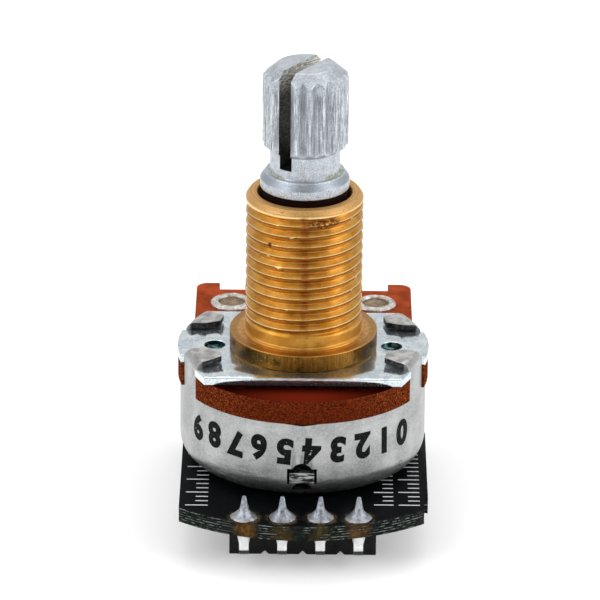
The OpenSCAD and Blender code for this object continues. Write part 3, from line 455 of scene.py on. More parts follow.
def can_sheet(name, colour):
    """Satin tinned steel: cloudy, speckled, scratched low down, darker in the corner bend, with painted shade on the
    side faces of the tabs and painted light and shade along the creases of the tongue.
    """
    f = Finish(name)
    level = f.axis("Z")
    cloud = f.noise(0.55, 5, 0.6)
    fleck = f.noise(7.5, 4, 0.65)
    specks = f.patches(17, 2, 0.6, 0.66, 0.74, 0, 0.75)
    smear = f.noise(1.0, 4, 0.65, f.stretched(0.8, 0.8, 3.2))
    f.colour = f.ramp(cloud, 0.35, 0.7, scaled(colour, 0.80), scaled(colour, 1.18))
    f.coat(f.steps(fleck, 0.44, 0.66, 0, 0.6), scaled(colour, 1.35))
    f.coat(f.steps(fleck, 0.46, 0.30, 0, 0.5), scaled(colour, 0.60))
    f.coat(f.steps(smear, 0.52, 0.75, 0, 0.35), scaled(colour, 0.62))
    f.coat(specks, (0.12, 0.12, 0.12))
    # Grey mottled tops of the tabs, and painted shade, nearly black, on their side faces
    away = f.radius()
    high = f.times(f.steps(level, -1.35, -1.15), f.steps(away, 8.15, 7.95))
    level_face = f.steps(f.unsigned(f.facing("Z")), 0.35, 0.65)
    mottle = f.blend(f.patches(1.5, 3, 0.6, 0.38, 0.62), (0.25, 0.243, 0.235), (0.66, 0.645, 0.62))
    f.coat(high, mottle, 0.6)
    # Painted shade, nearly black, on the side faces of the tabs
    painted_side_shade = f.times(high, f.less(1, level_face))
    side_shade_tone = f.blend(f.patches(6, 4, 0.7, 0.48, 0.66), (0.012, 0.013, 0.016), (0.14, 0.13, 0.14))
    f.coat(painted_side_shade, side_shade_tone, 0.95)
    # The pressed tongue, creased, with painted light and shade along its creases
    tongue = f.times(f.near(f.axis("X"), 0.0, 0.84, 0.03), f.near(level, -7.42, 0.38, 0.03))
    tongue = f.times(tongue, f.steps(f.axis("Y"), -7.0, -7.3))
    crease = f.noise(1.0, 3, 0.6, f.stretched(1.1, 1.1, 5.5))
    # Painted highlights and painted shade of the folds
    f.coat(tongue, f.ramp(crease, 0.42, 0.56, (0.030, 0.032, 0.034), (0.70, 0.72, 0.71)))
    corner = f.steps(level, -7.3, -9.0, 0, 1)
    mottled = f.times(corner, f.patches(2.4, 5, 0.7, 0.38, 0.62, 0.25, 1))
    f.coat(mottled, (0.13, 0.13, 0.14), 0.75)
    # Long fine scratches low on the left, and a small round mark low on the right
    scratch_lines = f.noise(1.0, 2, 0.5, f.stretched(0.5, 0.5, 30))
    scratch = f.times(f.spot(-5.0, -6.7, -7.6, 2.6, 0.5, (1, 1, 2.6)), f.steps(scratch_lines, 0.58, 0.63))
    ring = f.less(f.spot(6.65, -5.05, -7.75, 0.26, 0.25), f.spot(6.65, -5.05, -7.75, 0.15, 0.4))
    mark = f.most(scratch, f.times(ring, 0.7))
    f.coat(mark, (0.08, 0.08, 0.08), 0.8)
    rough = f.plus(f.steps(fleck, 0.3, 0.8, 0.30, 0.46), f.times(mottled, 0.1), True)
    rough = f.plus(rough, f.times(painted_side_shade, 0.25), True)
    bump = f.bump(smear, 0.020)
    bump = f.bump(f.times(crease, tongue), 0.12, bump)
    bump = f.bump(f.less(fleck, f.plus(specks, mark)), 0.010, bump)
    return f.done(rough, 0.90, bump)


def stamped_ink(name, ink, steel):
    """Black stamping ink, worn through in spots so that the steel shows."""
    f = Finish(name)
    worn = f.patches(3.4, 4, 0.62, 0.68, 0.73)
    fine = f.patches(13, 2, 0.6, 0.68, 0.74, 0, 0.7)
    gone = f.most(worn, fine)
    shade = f.blend(f.patches(6, 3, 0.55, 0.35, 0.7), ink, scaled(ink, 2.6))
    f.colour = f.blend(gone, shade, steel)
    bump = f.bump(f.less(f.noise(14, 2), gone), 0.006)
    return f.done(f.steps(gone, 0, 1, 0.62, 0.38), f.times(gone, 0.85), bump, Specular_IOR_Level=0.06)


def laminate(name, colour):
    """Red-brown moulded laminate: glossy faces, a rough sheared edge with orange fibre specks, and painted shade and
    a painted sheen on the shelf in front of the plate.
    """
    f = Finish(name)
    side = f.steps(f.unsigned(f.facing("Z")), 0.35, 0.7, 1, 0)
    cloud = f.noise(0.8, 4, 0.6)
    specks = f.noise(6.5, 4, 0.75, f.stretched(1, 1, 1.4))
    dots = f.patches(12, 3, 0.7, 0.54, 0.66)
    dark_dots = f.patches(8, 4, 0.75, 0.52, 0.66)
    face = f.ramp(cloud, 0.3, 0.7, scaled(colour, 0.72), scaled(colour, 1.22))
    face = f.blend(f.patches(5, 4, 0.7, 0.55, 0.75, 0, 0.35), face, (0.34, 0.07, 0.025))
    front = f.steps(f.axis("Y"), -5.0, 2.0, 1, 0)
    # Painted shade on the shelf in front of the plate, with a painted sheen that makes it reddest in its middle
    shelf_painted_shade_and_sheen = f.blend(f.spot(0, -8.4, -1.9, 6.4, 0.95), (0.014, 0.0014, 0.0009), (0.135, 0.013, 0.004))
    # Painted shadow, darkest next to the plate's front edge
    shelf_painted_shade_and_sheen = f.ramp(f.axis("Y"), -7.5, -6.2, shelf_painted_shade_and_sheen, (0.006, 0.0006, 0.0004))
    shelf_painted_shade_and_sheen = f.blend(f.patches(3.2, 4, 0.7, 0.45, 0.7, 0, 0.16), shelf_painted_shade_and_sheen, (0.11, 0.012, 0.004))
    face = f.blend(front, face, shelf_painted_shade_and_sheen)
    edge = f.ramp(specks, 0.38, 0.66, (0.055, 0.007, 0.003), (0.24, 0.038, 0.009))
    ends = f.steps(f.unsigned(f.axis("X")), 2.5, 6.5, 0.12, 1.0)
    edge = f.blend(f.times(dots, ends), edge, (0.58, 0.19, 0.050))
    edge = f.blend(f.times(dark_dots, f.steps(ends, 0, 1, 0.35, 1)), edge, (0.020, 0.004, 0.003))
    f.colour = f.blend(side, face, edge)
    rough = f.plus(f.steps(side, 0, 1, 0.34, 0.58), f.steps(specks, 0.3, 0.7, 0, 0.14), True)
    depth = f.times(specks, f.steps(side, 0, 1, 0.12, 1))
    return f.done(rough, 0.0, f.bump(depth, 0.05, f.bump(f.noise(1.6, 3), 0.006)), Specular_IOR_Level=0.0)


def tinned(name, shade, brown, under=0.0):
    """Dipped tin or solder: mottled, partly frosted, with brown flux in places."""
    f = Finish(name)
    cloud = f.noise(2.6, 5, 0.65)
    grain = f.noise(12, 3, 0.7)
    pits = f.patches(8, 3, 0.6, 0.60, 0.70)
    low = scaled(shade, 0.50)
    high = scaled(shade, 1.25)
    f.colour = f.ramp(cloud, 0.32, 0.68, low, high)
    f.coat(f.steps(grain, 0.40, 0.72, 0, 0.55), high)
    f.coat(pits, (0.13, 0.13, 0.135))
    flux = f.times(f.patches(2.9, 5, 0.7, 0.46, 0.60), brown)
    f.coat(flux, (0.16, 0.085, 0.035))
    if under:
        f.coat(f.steps(f.axis("Z"), BOARD_TOP - 0.9, BOARD_TOP - 1.1, 0, under), (0.84, 0.85, 0.85))
    rough = f.steps(f.plus(grain, cloud), 0.6, 1.3, 0.28, 0.50)
    metallic = f.less(0.92, f.times(flux, 0.75))
    bump = f.bump(cloud, 0.030)
    return f.done(rough, metallic, f.bump(f.less(grain, pits), 0.014, bump))


def pin_tin(name):
    """Tinned pins: grey solder dip over the board, bright legs under it with painted shade in their bend."""
    f = Finish(name)
    level = f.axis("Z")
    cloud = f.noise(3.0, 4, 0.65)
    grain = f.noise(12, 3, 0.7)
    leg = f.ramp(cloud, 0.35, 0.7, (0.74, 0.75, 0.75), (0.92, 0.93, 0.93))
    dip = f.ramp(cloud, 0.35, 0.65, (0.27, 0.30, 0.33), (0.60, 0.64, 0.68))
    dip = f.blend(f.steps(grain, 0.56, 0.68, 0, 0.6), dip, (0.14, 0.15, 0.16))
    f.colour = f.ramp(level, BOARD_TOP - 0.3, BOARD_TOP, leg, dip)
    front = f.steps(f.axis("Y"), PIN_ROW_Y + 0.6, PIN_ROW_Y + 0.2)
    # Painted shade, nearly black, in the bend of the legs
    bend = f.times(f.steps(f.plus(level, f.times(cloud, 0.10)), -11.32, -11.44), front)
    f.coat(bend, (0.014, 0.014, 0.015), 0.97)
    return f.done(f.steps(grain, 0.3, 0.7, 0.26, 0.42), 0.92, f.bump(grain, 0.012, f.bump(cloud, 0.02)))


def board_laminate(name, mask):
    """Black circuit board: smooth solder mask, and a cut edge of glass layers with flux burns at the pins."""
    f = Finish(name)
    side = f.steps(f.unsigned(f.facing("Z")), 0.35, 0.7, 1, 0)
    dust = f.patches(18, 2, 0.6, 0.70, 0.78, 0, 0.35)
    face = f.blend(f.patches(0.7, 4, 0.55, 0.35, 0.7), mask, scaled(mask, 1.6))
    face = f.blend(dust, face, (0.10, 0.10, 0.10))
    # Six layers of glass cloth, cut into dashes
    layer = f.add("ShaderNodeTexWave", wave_type="BANDS", bands_direction="Z", wave_profile="SIN")
    f.fill(layer, Vector=f.place, Scale=1.72, Distortion=1.0, Detail=2, Detail_Scale=1.6)
    dashes = f.steps(f.noise(1.0, 3, 0.7, f.stretched(2.1, 2.1, 7)), 0.47, 0.56)
    ends = f.steps(f.unsigned(f.axis("X")), 4.0, 6.0, 0, 0.85)
    group = f.most(f.patches(0.55, 2, 0.55, 0.47, 0.60), ends)
    glass = f.times(f.steps(layer.outputs["Fac"], 0.74, 0.95), f.times(dashes, group))
    edge = f.blend(f.patches(4, 4, 0.55, 0.35, 0.7), (0.006, 0.008, 0.007), (0.024, 0.030, 0.026))
    edge = f.blend(glass, edge, f.blend(f.noise(6, 2), (0.20, 0.26, 0.24), (0.58, 0.63, 0.58)))
    # A burn in its own colour under each pin, and a ring of brown flux round each joint
    ragged = f.patches(3.2, 4, 0.65, 0.30, 0.56, 0.15, 1)
    burns = ((-9.7, 1.05, (0.075, 0.038, 0.011), (0.21, 0.098, 0.024)),
             (-9.95, 1.0, (0.044, 0.030, 0.009), (0.100, 0.066, 0.018)),
             (-9.85, 1.0, (0.030, 0.026, 0.010), (0.085, 0.072, 0.026)),
             (-9.7, 1.1, (0.060, 0.034, 0.014), (0.16, 0.084, 0.034)))
    for x, (z, size, dark, light) in zip(PIN_PLACES, burns):
        burn = f.times(f.spot(x, -12.1, z, size, 0.75, (1, 0.4, 0.8)), f.times(ragged, side))
        edge = f.blend(burn, edge, f.blend(f.patches(2.6, 4, 0.6, 0.34, 0.68), dark, light))
    for x in PIN_PLACES:
        halo = f.spot(x, PIN_ROW_Y - 0.1, BOARD_TOP, 1.35, 0.4)
        halo = f.times(f.times(halo, f.patches(2.8, 4, 0.7, 0.44, 0.56)), 0.8)
        face = f.blend(halo, face, f.blend(f.noise(7, 3), (0.040, 0.024, 0.008), (0.20, 0.15, 0.070)))
    f.colour = f.blend(side, face, edge)
    rough = f.steps(side, 0, 1, 0.42, 0.62)
    bump = f.bump(f.times(f.plus(glass, f.noise(9, 3, 0.7)), f.steps(side, 0, 1, 0.05, 1)), 0.05)
    return f.done(rough, 0.0, bump, Specular_IOR_Level=0.03)


def plastic(name, colour, rough=0.42):
    """Moulded plastic with fine grain and scuffs."""
    f = Finish(name)
    cloud = f.noise(1.6, 4, 0.6)
    scuff = f.steps(f.noise(1.0, 3, 0.7, f.stretched(2, 9, 9)), 0.62, 0.74, 0, 0.5)
    f.colour = f.ramp(cloud, 0.3, 0.7, scaled(colour, 0.7), scaled(colour, 1.5))
    f.coat(scuff, tuple(min(1, c * 3 + 0.02) for c in colour))
    rough = f.patches(10, 3, 0.55, 0.3, 0.7, rough - 0.06, rough + 0.12)
    return f.done(rough, 0.0, f.bump(f.noise(12, 4, 0.65), 0.012), Specular_IOR_Level=0.18)


def plain_metal(name, colour, rough=0.34):
    """Rolled or pressed metal with fine draw lines."""
    f = Finish(name)
    drawn = f.noise(1.0, 4, 0.65, f.stretched(3, 3, 12))
    cloud = f.noise(1.4, 4, 0.6)
    f.colour = f.ramp(cloud, 0.3, 0.7, scaled(colour, 0.75), scaled(colour, 1.15))
    f.coat(f.steps(drawn, 0.55, 0.75, 0, 0.4), scaled(colour, 0.5))
    return f.done(f.steps(drawn, 0.3, 0.7, rough - 0.07, rough + 0.1), 0.9, f.bump(drawn, 0.008))


def printed_film(name, colour, metallic=0.0):
    """Screen-printed film with the weave of the screen."""
    f = Finish(name)
    weave = f.cells(9)
    f.colour = f.ramp(weave, 0.1, 0.6, scaled(colour, 0.8), scaled(colour, 1.3))
    return f.done(f.steps(weave, 0.1, 0.6, 0.5, 0.66), metallic, f.bump(weave, 0.01))


# Mesh making

def link(thing):
    bpy.context.scene.collection.objects.link(thing)


def make_piece(name, vertices, faces, material=None, crease=35):
    """A new object from points in millimetres, smooth except at edges sharper than the crease angle."""
    mesh = bpy.data.meshes.new(name)
    mesh.from_pydata([tuple(c * MM for c in v) for v in vertices], [], faces)
    mesh.validate()
    return dress(bpy.data.objects.new(name, mesh), material, crease)


def dress(piece, material, crease=35):
    link(piece)
    if material:
        piece.data.materials.clear()
        piece.data.materials.append(material)
    smooth(piece, crease)
    return piece


def smooth(piece, crease):
    """Smooth shading, except at edges sharper than the crease angle."""
    piece.data.shade_smooth()
    piece.data.set_sharp_from_angle(angle=math.radians(crease))


def merge_points(piece, distance):
    grid = bmesh.new()
    grid.from_mesh(piece.data)
    bmesh.ops.remove_doubles(grid, verts=grid.verts, dist=distance * MM)
    bmesh.ops.dissolve_degenerate(grid, edges=grid.edges, dist=distance * MM)
    bmesh.ops.recalc_face_normals(grid, faces=grid.faces)
    grid.to_mesh(piece.data)
    grid.free()
    piece.data.update()


def rounded(points):
    """An open outline with rounded corners, from (r, z) or (r, z, radius) points."""
    out = []
    turns = 4
    for i, point in enumerate(points):
        radius = point[2] if len(point) > 2 else 0
        here = Vector(point[:2])
        if radius <= 0 or i in (0, len(points) - 1):
            out.append(tuple(here))
            continue
        before, after = Vector(points[i - 1][:2]), Vector(points[i + 1][:2])
        a, b = (before - here).normalized(), (after - here).normalized()
        angle = a.angle(b)
        if angle > math.radians(178):
            out.append(tuple(here))
            continue
        reach = min(radius / math.tan(angle / 2), (before - here).length * 0.49, (after - here).length * 0.49)
        start, end = here + a * reach, here + b * reach
        for k in range(turns + 1):
            t = k / turns
            out.append(tuple((1 - t) ** 2 * start + 2 * t * (1 - t) * here + t * t * end))
    return out


def around(r, angle, z):
    """The point at this radius and level, at an angle counted from the front towards the right."""
    return r * math.sin(angle), -r * math.cos(angle), z


def circle(r, z, columns):
    return [around(r, TAU * i / columns, z) for i in range(columns)]


def band(first, second, columns, closed=True):
    """The faces between two rows, given by the numbers of their first points."""
    ahead = [(i, (i + 1) % columns if closed else i + 1) for i in range(columns)]
    return [(first + i, first + j, second + j, second + i) for i, j in ahead]


def revolve(name, rings, columns, radius_at, material, crease=35):
    """A surface of revolution whose radius may vary with the angle. rings is a list of (r, z)."""
    vertices, faces = [], []
    for k, (r, z) in enumerate(rings):
        for i in range(columns):
            angle = TAU * i / columns
            own_r, own_z = radius_at(k, angle, r, z)
            vertices.append(around(own_r, angle, own_z))
    for k in range(len(rings) - 1):
        faces += band(k * columns, (k + 1) * columns, columns)
    return make_piece(name, vertices, faces, material, crease)


def from_grid(grid, name, material):
    """A new piece from a bmesh, which is freed."""
    bmesh.ops.recalc_face_normals(grid, faces=grid.faces)
    mesh = bpy.data.meshes.new(name)
    grid.to_mesh(mesh)
    grid.free()
    return dress(bpy.data.objects.new(name, mesh), material, 40)


def softened(node, name, width, material, limit=40, turns=2):
    """A copy of a rigid node with its sharp edges rounded, to stand for that node."""
    grid = bmesh.new()
    grid.from_mesh(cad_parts[node].data)
    bmesh.ops.remove_doubles(grid, verts=grid.verts, dist=2e-7)
    bmesh.ops.dissolve_limit(grid, angle_limit=math.radians(0.5), verts=grid.verts, edges=grid.edges)
    sharp = [e for e in grid.edges if len(e.link_faces) == 2 and e.calc_face_angle() > math.radians(limit)]
    bmesh.ops.bevel(grid, geom=sharp, offset=width * MM, offset_type="OFFSET", segments=turns,
                    profile=0.5, affect="EDGES", clamp_overlap=True)
    return from_grid(grid, name, material)


def finish_node(node, material):
    """Gives a carried-over node its material."""
    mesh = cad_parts[node].data
    mesh.materials.clear()
    mesh.materials.append(material)


def apply_modifier(piece, modifier):
    bpy.context.view_layer.objects.active = piece
    bpy.ops.object.modifier_apply(modifier=modifier.name)


def even_shading(piece):
    """Shades wide faces by their own slope, so that the small edge rounds don't bend the light across them."""
    even = piece.modifiers.new("even", "WEIGHTED_NORMAL")
    even.keep_sharp = True
    apply_modifier(piece, even)


def cut_away(piece, cutter):
    """Takes the cutter's volume out of the piece and deletes the cutter."""
    cut = piece.modifiers.new("cut", "BOOLEAN")
    cut.operation = "DIFFERENCE"
    cut.solver = "EXACT"
    cut.object = cutter
    apply_modifier(piece, cut)
    bpy.data.objects.remove(cutter)


def block(name, low, high, turn=0.0):
    """A plain box, used only as a cutter."""
    corners = [(x, y, z) for x in (low[0], high[0]) for y in (low[1], high[1]) for z in (low[2], high[2])]
    faces = [(0, 1, 3, 2), (4, 6, 7, 5), (0, 4, 5, 1), (2, 3, 7, 6), (0, 2, 6, 4), (1, 5, 7, 3)]
    spin = Matrix.Rotation(turn, 3, "Z")
    piece = make_piece(name, [tuple(spin @ Vector(c)) for c in corners], faces)
    merge_points(piece, 0.00005)
    return piece


def wobble(x, y, z, seed, scale):
    """Smooth repeatable noise between about -1 and 1."""
    return noise.noise(Vector((x * scale + seed, y * scale - seed, z * scale + 2 * seed)))


def round_wobble(angle, spread, level, seed):
    """Noise that closes on itself round a full turn."""
    return wobble(math.sin(angle) * spread, math.cos(angle) * spread, level, seed, 1.0)


# Operators

class POT_OT_stage(bpy.types.Operator):
    """Make the camera, the lamps, the floor and the backdrop"""
    bl_idname = "pot.stage"
    bl_label = "Camera and studio"

    def execute(self, context):
        settings = context.scene.pot.stage
        scene = context.scene
        scene.view_settings.view_transform = "Standard"

        seat = Vector((0, 0, PLATE_TOP * MM))
        back = Vector((0, -math.cos(settings.elevation), math.sin(settings.elevation)))
        look_at = Vector((-0.25 * MM, 0, 2.0 * MM))
        lens = bpy.data.cameras.new("camera")
        lens.sensor_width = 36
        lens.lens = 283.5
        lens.clip_start = 0.01
        lens.clip_end = 20
        camera = bpy.data.objects.new("camera", lens)
        camera.location = seat + back * settings.distance
        aim = (look_at - camera.location).to_track_quat("-Z", "Y")
        camera.rotation_mode = "QUATERNION"
        camera.rotation_quaternion = aim @ Quaternion((0, 0, 1), settings.roll)
        link(camera)
        scene.camera = camera

        self.lamp("key_left", (-0.30, -0.16, 0.24), 0.26, 0.30, 0.50)
        self.lamp("fill_right", (0.32, -0.12, 0.18), 0.22, 0.34, 0.50)
        self.lamp("top_rear", (0.02, 0.18, 0.34), 0.34, 0.24, 0.45)
        self.surroundings(scene)
        self.floor(settings)
        return {"FINISHED"}

    def lamp(self, name, place, wide, high, power):
        data = bpy.data.lights.new(name, "AREA")
        data.shape = "RECTANGLE"
        data.size, data.size_y = wide, high
        data.energy = power
        lamp = bpy.data.objects.new(name, data)
        lamp.location = place
        lamp.rotation_euler = (Vector((0, 0, 0.003)) - Vector(place)).to_track_quat("-Z", "Y").to_euler()
        link(lamp)

    def surroundings(self, scene):
        """White surroundings that are dimmer on the camera's side, and pure white to the camera."""
        scene.world = bpy.data.worlds.new("studio")
        scene.world.use_nodes = True
        n = Nodes(scene.world.node_tree)
        direction = n.add("ShaderNodeTexCoord").outputs["Generated"]
        dim = n.steps(n.part("Y", direction), -0.95, -0.30, 0.24, 0.88)
        seen = n.add("ShaderNodeLightPath").outputs["Is Camera Ray"]
        level = n.fill(n.add("ShaderNodeMix", data_type="FLOAT"), Factor=seen, A=dim, B=1.0)
        n.fill(n.tree.nodes["Background"], Color=(1, 1, 1), Strength=level.outputs["Result"])

    def floor(self, settings):
        """One sheet: a wide floor that curves up into a backdrop far behind."""
        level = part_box("header_block")[0].z / MM - 0.01
        wall_foot, bend = 900, 500
        run = [(-2500, level), (wall_foot, level)]
        for k in range(1, 13):
            a = math.radians(90 * k / 12)
            run.append((wall_foot + bend * math.sin(a), level + bend * (1 - math.cos(a))))
        run.append((wall_foot + bend, level + 2200))
        vertices = [(x, y, z) for y, z in run for x in (-3000, 3000)]
        faces = [(2 * i, 2 * i + 1, 2 * i + 3, 2 * i + 2) for i in range(len(run) - 1)]
        f = Finish("studio_paper")
        f.colour = tuple(settings.floor_colour)
        path = f.add("ShaderNodeLightPath")
        seen = f.most(path.outputs["Is Camera Ray"], path.outputs["Is Glossy Ray"])
        f.fill(f.shader, Emission_Color=(1, 1, 1), Emission_Strength=f.times(seen, 0.30))
        make_piece("studio_floor", vertices, faces, f.done(0.9, Specular_IOR_Level=0.1))


class POT_OT_shaft(bpy.types.Operator):
    """Make the splined, slotted shaft"""
    bl_idname = "pot.shaft"
    bl_label = "Splined shaft"

    def execute(self, context):
        settings = context.scene.pot.shaft
        depth = settings.groove_depth / MM
        crest, root = 2.88, 2.88 - depth
        grooves, columns_each = 18, 14
        fine_step, plain_step = 0.055, 0.8
        # Top and splines, neck and collar, journal, groove of the ring, flatted end and tail
        corners = rounded([
            (0.0, SHAFT_TOP), (1.95, SHAFT_TOP, 0.12), (crest, 18.2, 0.10), (crest, 13.5, 0.07),
            (2.35, 13.1, 0.05), (2.35, 11.5, 0.10), (2.65, 11.5, 0.05), (3.0, 11.0, 0.10),
            (3.0, 10.42, 0.05), (2.88, 10.35, 0.05), (2.88, 8.6), (3.0, 8.4),
            (3.0, -2.18), (2.35, -2.18), (2.35, -2.71), (3.0, -2.71), (3.0, -4.1), (2.4, -4.1),
            (2.4, -6.0), (2.8, -6.0), (2.8, -6.4), (1.0, -6.4), (1.0, SHAFT_BOTTOM, 0.15), (0.0, SHAFT_BOTTOM)])
        rings = []
        for (r0, z0), (r1, z1) in zip(corners, corners[1:]):
            fine = min(z0, z1) > SPLINE_FOOT and max(r0, r1) > root - 0.2
            pieces = max(1, round(math.hypot(r1 - r0, z1 - z0) / (fine_step if fine else plain_step)))
            rings += [(r0 + (r1 - r0) * k / pieces, z0 + (z1 - z0) * k / pieces) for k in range(pieces)]
        rings.append(corners[-1])
        turn = -settings.slot_turn

        def spline_radius(k, angle, r, z):
            if z < SPLINE_FOOT or r < 1.9:
                dent = 0.012 * wobble(angle * 2, z, 0, 5, 0.9) if 10 < z < SPLINE_FOOT and r > 2 else 0
                return r + dent, z
            place = (angle - turn) / TAU * grooves
            cell = math.floor(place)
            u = abs(place - cell - 0.5) * 2
            half = 0.84 + 0.06 * wobble(cell, 3, 0, 2, 1.7)
            own_depth = depth * (1 + 0.10 * wobble(cell, 9, 0, 4, 1.3))
            if u < half:
                t = u / half
                groove = crest - own_depth * (1 - t) ** 0.9
                groove += 0.02 * (1 - min(1, t / 0.2)) if t < 0.2 else 0
            else:
                groove = crest + 0.02 * math.cos((u - half) / (1 - half) * math.pi / 2) - 0.01
            groove += 0.010 * wobble(angle * 9, z * 1.2, 0, 1, 1.0)
            return min(r, groove), z

        piece = revolve("shaft_turned", rings, grooves * columns_each, spline_radius, None, 40)
        merge_points(piece, 0.0005)
        half_slot = settings.slot_width / MM / 2
        cut_away(piece, block("slot_cutter", (-half_slot, -5, SLOT_FLOOR), (half_slot, 5, 22), turn))
        cut_away(piece, block("flat_cutter", (-5, 1.9, -6.0), (5, 5, -4.1)))
        piece.data.materials.append(turned_metal("shaft_metal", tuple(settings.metal)))
        piece.data.materials.append(sawn_metal("slot_walls"))
        across = Vector((math.cos(turn), math.sin(turn), 0))
        for face in piece.data.polygons:
            centre = face.center / MM
            aside = abs(centre.dot(across))
            wall = abs(aside - half_slot) < 0.02 and abs(face.normal.dot(across)) > 0.9
            floor = abs(centre.z - SLOT_FLOOR) < 0.02 and face.normal.z > 0.9 and aside < half_slot
            face.material_index = 1 if wall or floor else 0
        smooth(piece, 38)
        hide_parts("shaft")
        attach(piece, "spindle")
        return {"FINISHED"}


class POT_OT_bush(bpy.types.Operator):
    """Make the threaded bush with its flange"""
    bl_idname = "pot.bush"
    bl_label = "Threaded bush"

    def execute(self, context):
        settings = context.scene.pot.bush
        pitch, depth = settings.pitch / MM, settings.depth / MM
        crest = 3.95
        low, high = 0.84, 9.50
        run_in, run_out = 0.32, 0.26
        columns = 216
        # One turn of thread from the lower edge of a crest upwards: (share of the pitch, share of the depth)
        form = [(0.000, 0.17), (0.030, 0.045), (0.062, 0.0), (0.118, 0.012), (0.172, 0.0), (0.204, 0.045),
                (0.234, 0.17), (0.330, 0.42), (0.430, 0.68), (0.535, 0.94), (0.565, 1.0), (0.610, 1.0),
                (0.640, 0.94), (0.760, 0.68), (0.880, 0.42)]
        first_crest = 0.51
        count = len(form)
        turns = math.ceil((high - low) / pitch) + 2

        def thread_point(step, angle):
            lap, k = divmod(step, count)
            share, dip = form[k]
            z = first_crest + (lap - 1 + share + angle / TAU) * pitch
            z = min(max(z, low), high)
            fade = min(1, max(0, (z - low) / run_in)) * min(1, max(0, (high - z) / run_out))
            fade = fade * fade * (3 - 2 * fade)
            r = crest - depth * dip * fade
            if dip < 0.2:
                nick = wobble(angle * 8, z * 3, 0, 3, 1.0)
                r -= 0.035 * max(0, nick - 0.45) / 0.3 * fade
                r += 0.004 * wobble(angle * 25, z, 0, 6, 1.0)
            return r, z

        below = rounded([(3.03, BUSH_BOTTOM), (4.15, BUSH_BOTTOM, 0.1), (4.15, PLATE_BOTTOM), (3.7, PLATE_BOTTOM),
                         (3.7, PLATE_TOP), (4.9, PLATE_TOP, 0.04), (5.0, PLATE_TOP + 0.09, 0.05), (5.0, -0.03, 0.05),
                         (4.96, 0.0, 0.02), (4.12, 0.0, 0.02), (4.10, 0.07, 0.03), (4.03, 0.09, 0.03),
                         (crest, 0.16, 0.05), (3.93, 0.45), (crest, 0.75), (crest, low)])
        above = rounded([(crest, high), (crest, 9.66, 0.06), (3.72, BUSH_TOP - 0.02, 0.06),
                         (3.24, BUSH_TOP, 0.05), (3.17, BUSH_TOP - 0.06, 0.05), (3.05, 9.1, 0.05),
                         (3.03, 9.0), (3.03, 4.0), (3.03, BUSH_BOTTOM)])
        vertices, faces = [], []
        for r, z in below[:-1]:
            vertices += circle(r, z, columns)
        foot = (len(below) - 2) * columns
        for row in range(0, foot, columns):
            faces += band(row, row + columns, columns)
        # Thread rows climb with the angle, so each column ends one turn higher than it starts
        start, steps, width = len(vertices), turns * count, columns + 1
        for step in range(steps + 1):
            for i in range(width):
                angle = TAU * i / columns
                r, z = thread_point(step, angle)
                vertices.append(around(r, angle, z))
        for row in range(start, start + steps * width, width):
            faces += band(row, row + width, columns, closed=False)
        top, base = start + steps * width, len(vertices)
        for i in range(columns):
            faces.append((foot + i, foot + (i + 1) % columns, start + i + 1, start + i))
        for r, z in above[1:]:
            vertices += circle(r, z, columns)
        for i in range(columns):
            faces.append((top + i, top + i + 1, base + (i + 1) % columns, base + i))
        for k in range(len(above) - 2):
            faces += band(base + k * columns, base + (k + 1) * columns, columns)
        piece = make_piece("bush_threaded", vertices, faces, turned_brass("brass", tuple(settings.brass)), 50)
        merge_points(piece, 0.0005)
        smooth(piece, 50)
        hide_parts("bushing")
        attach(piece, "housing")
        return {"FINISHED"}


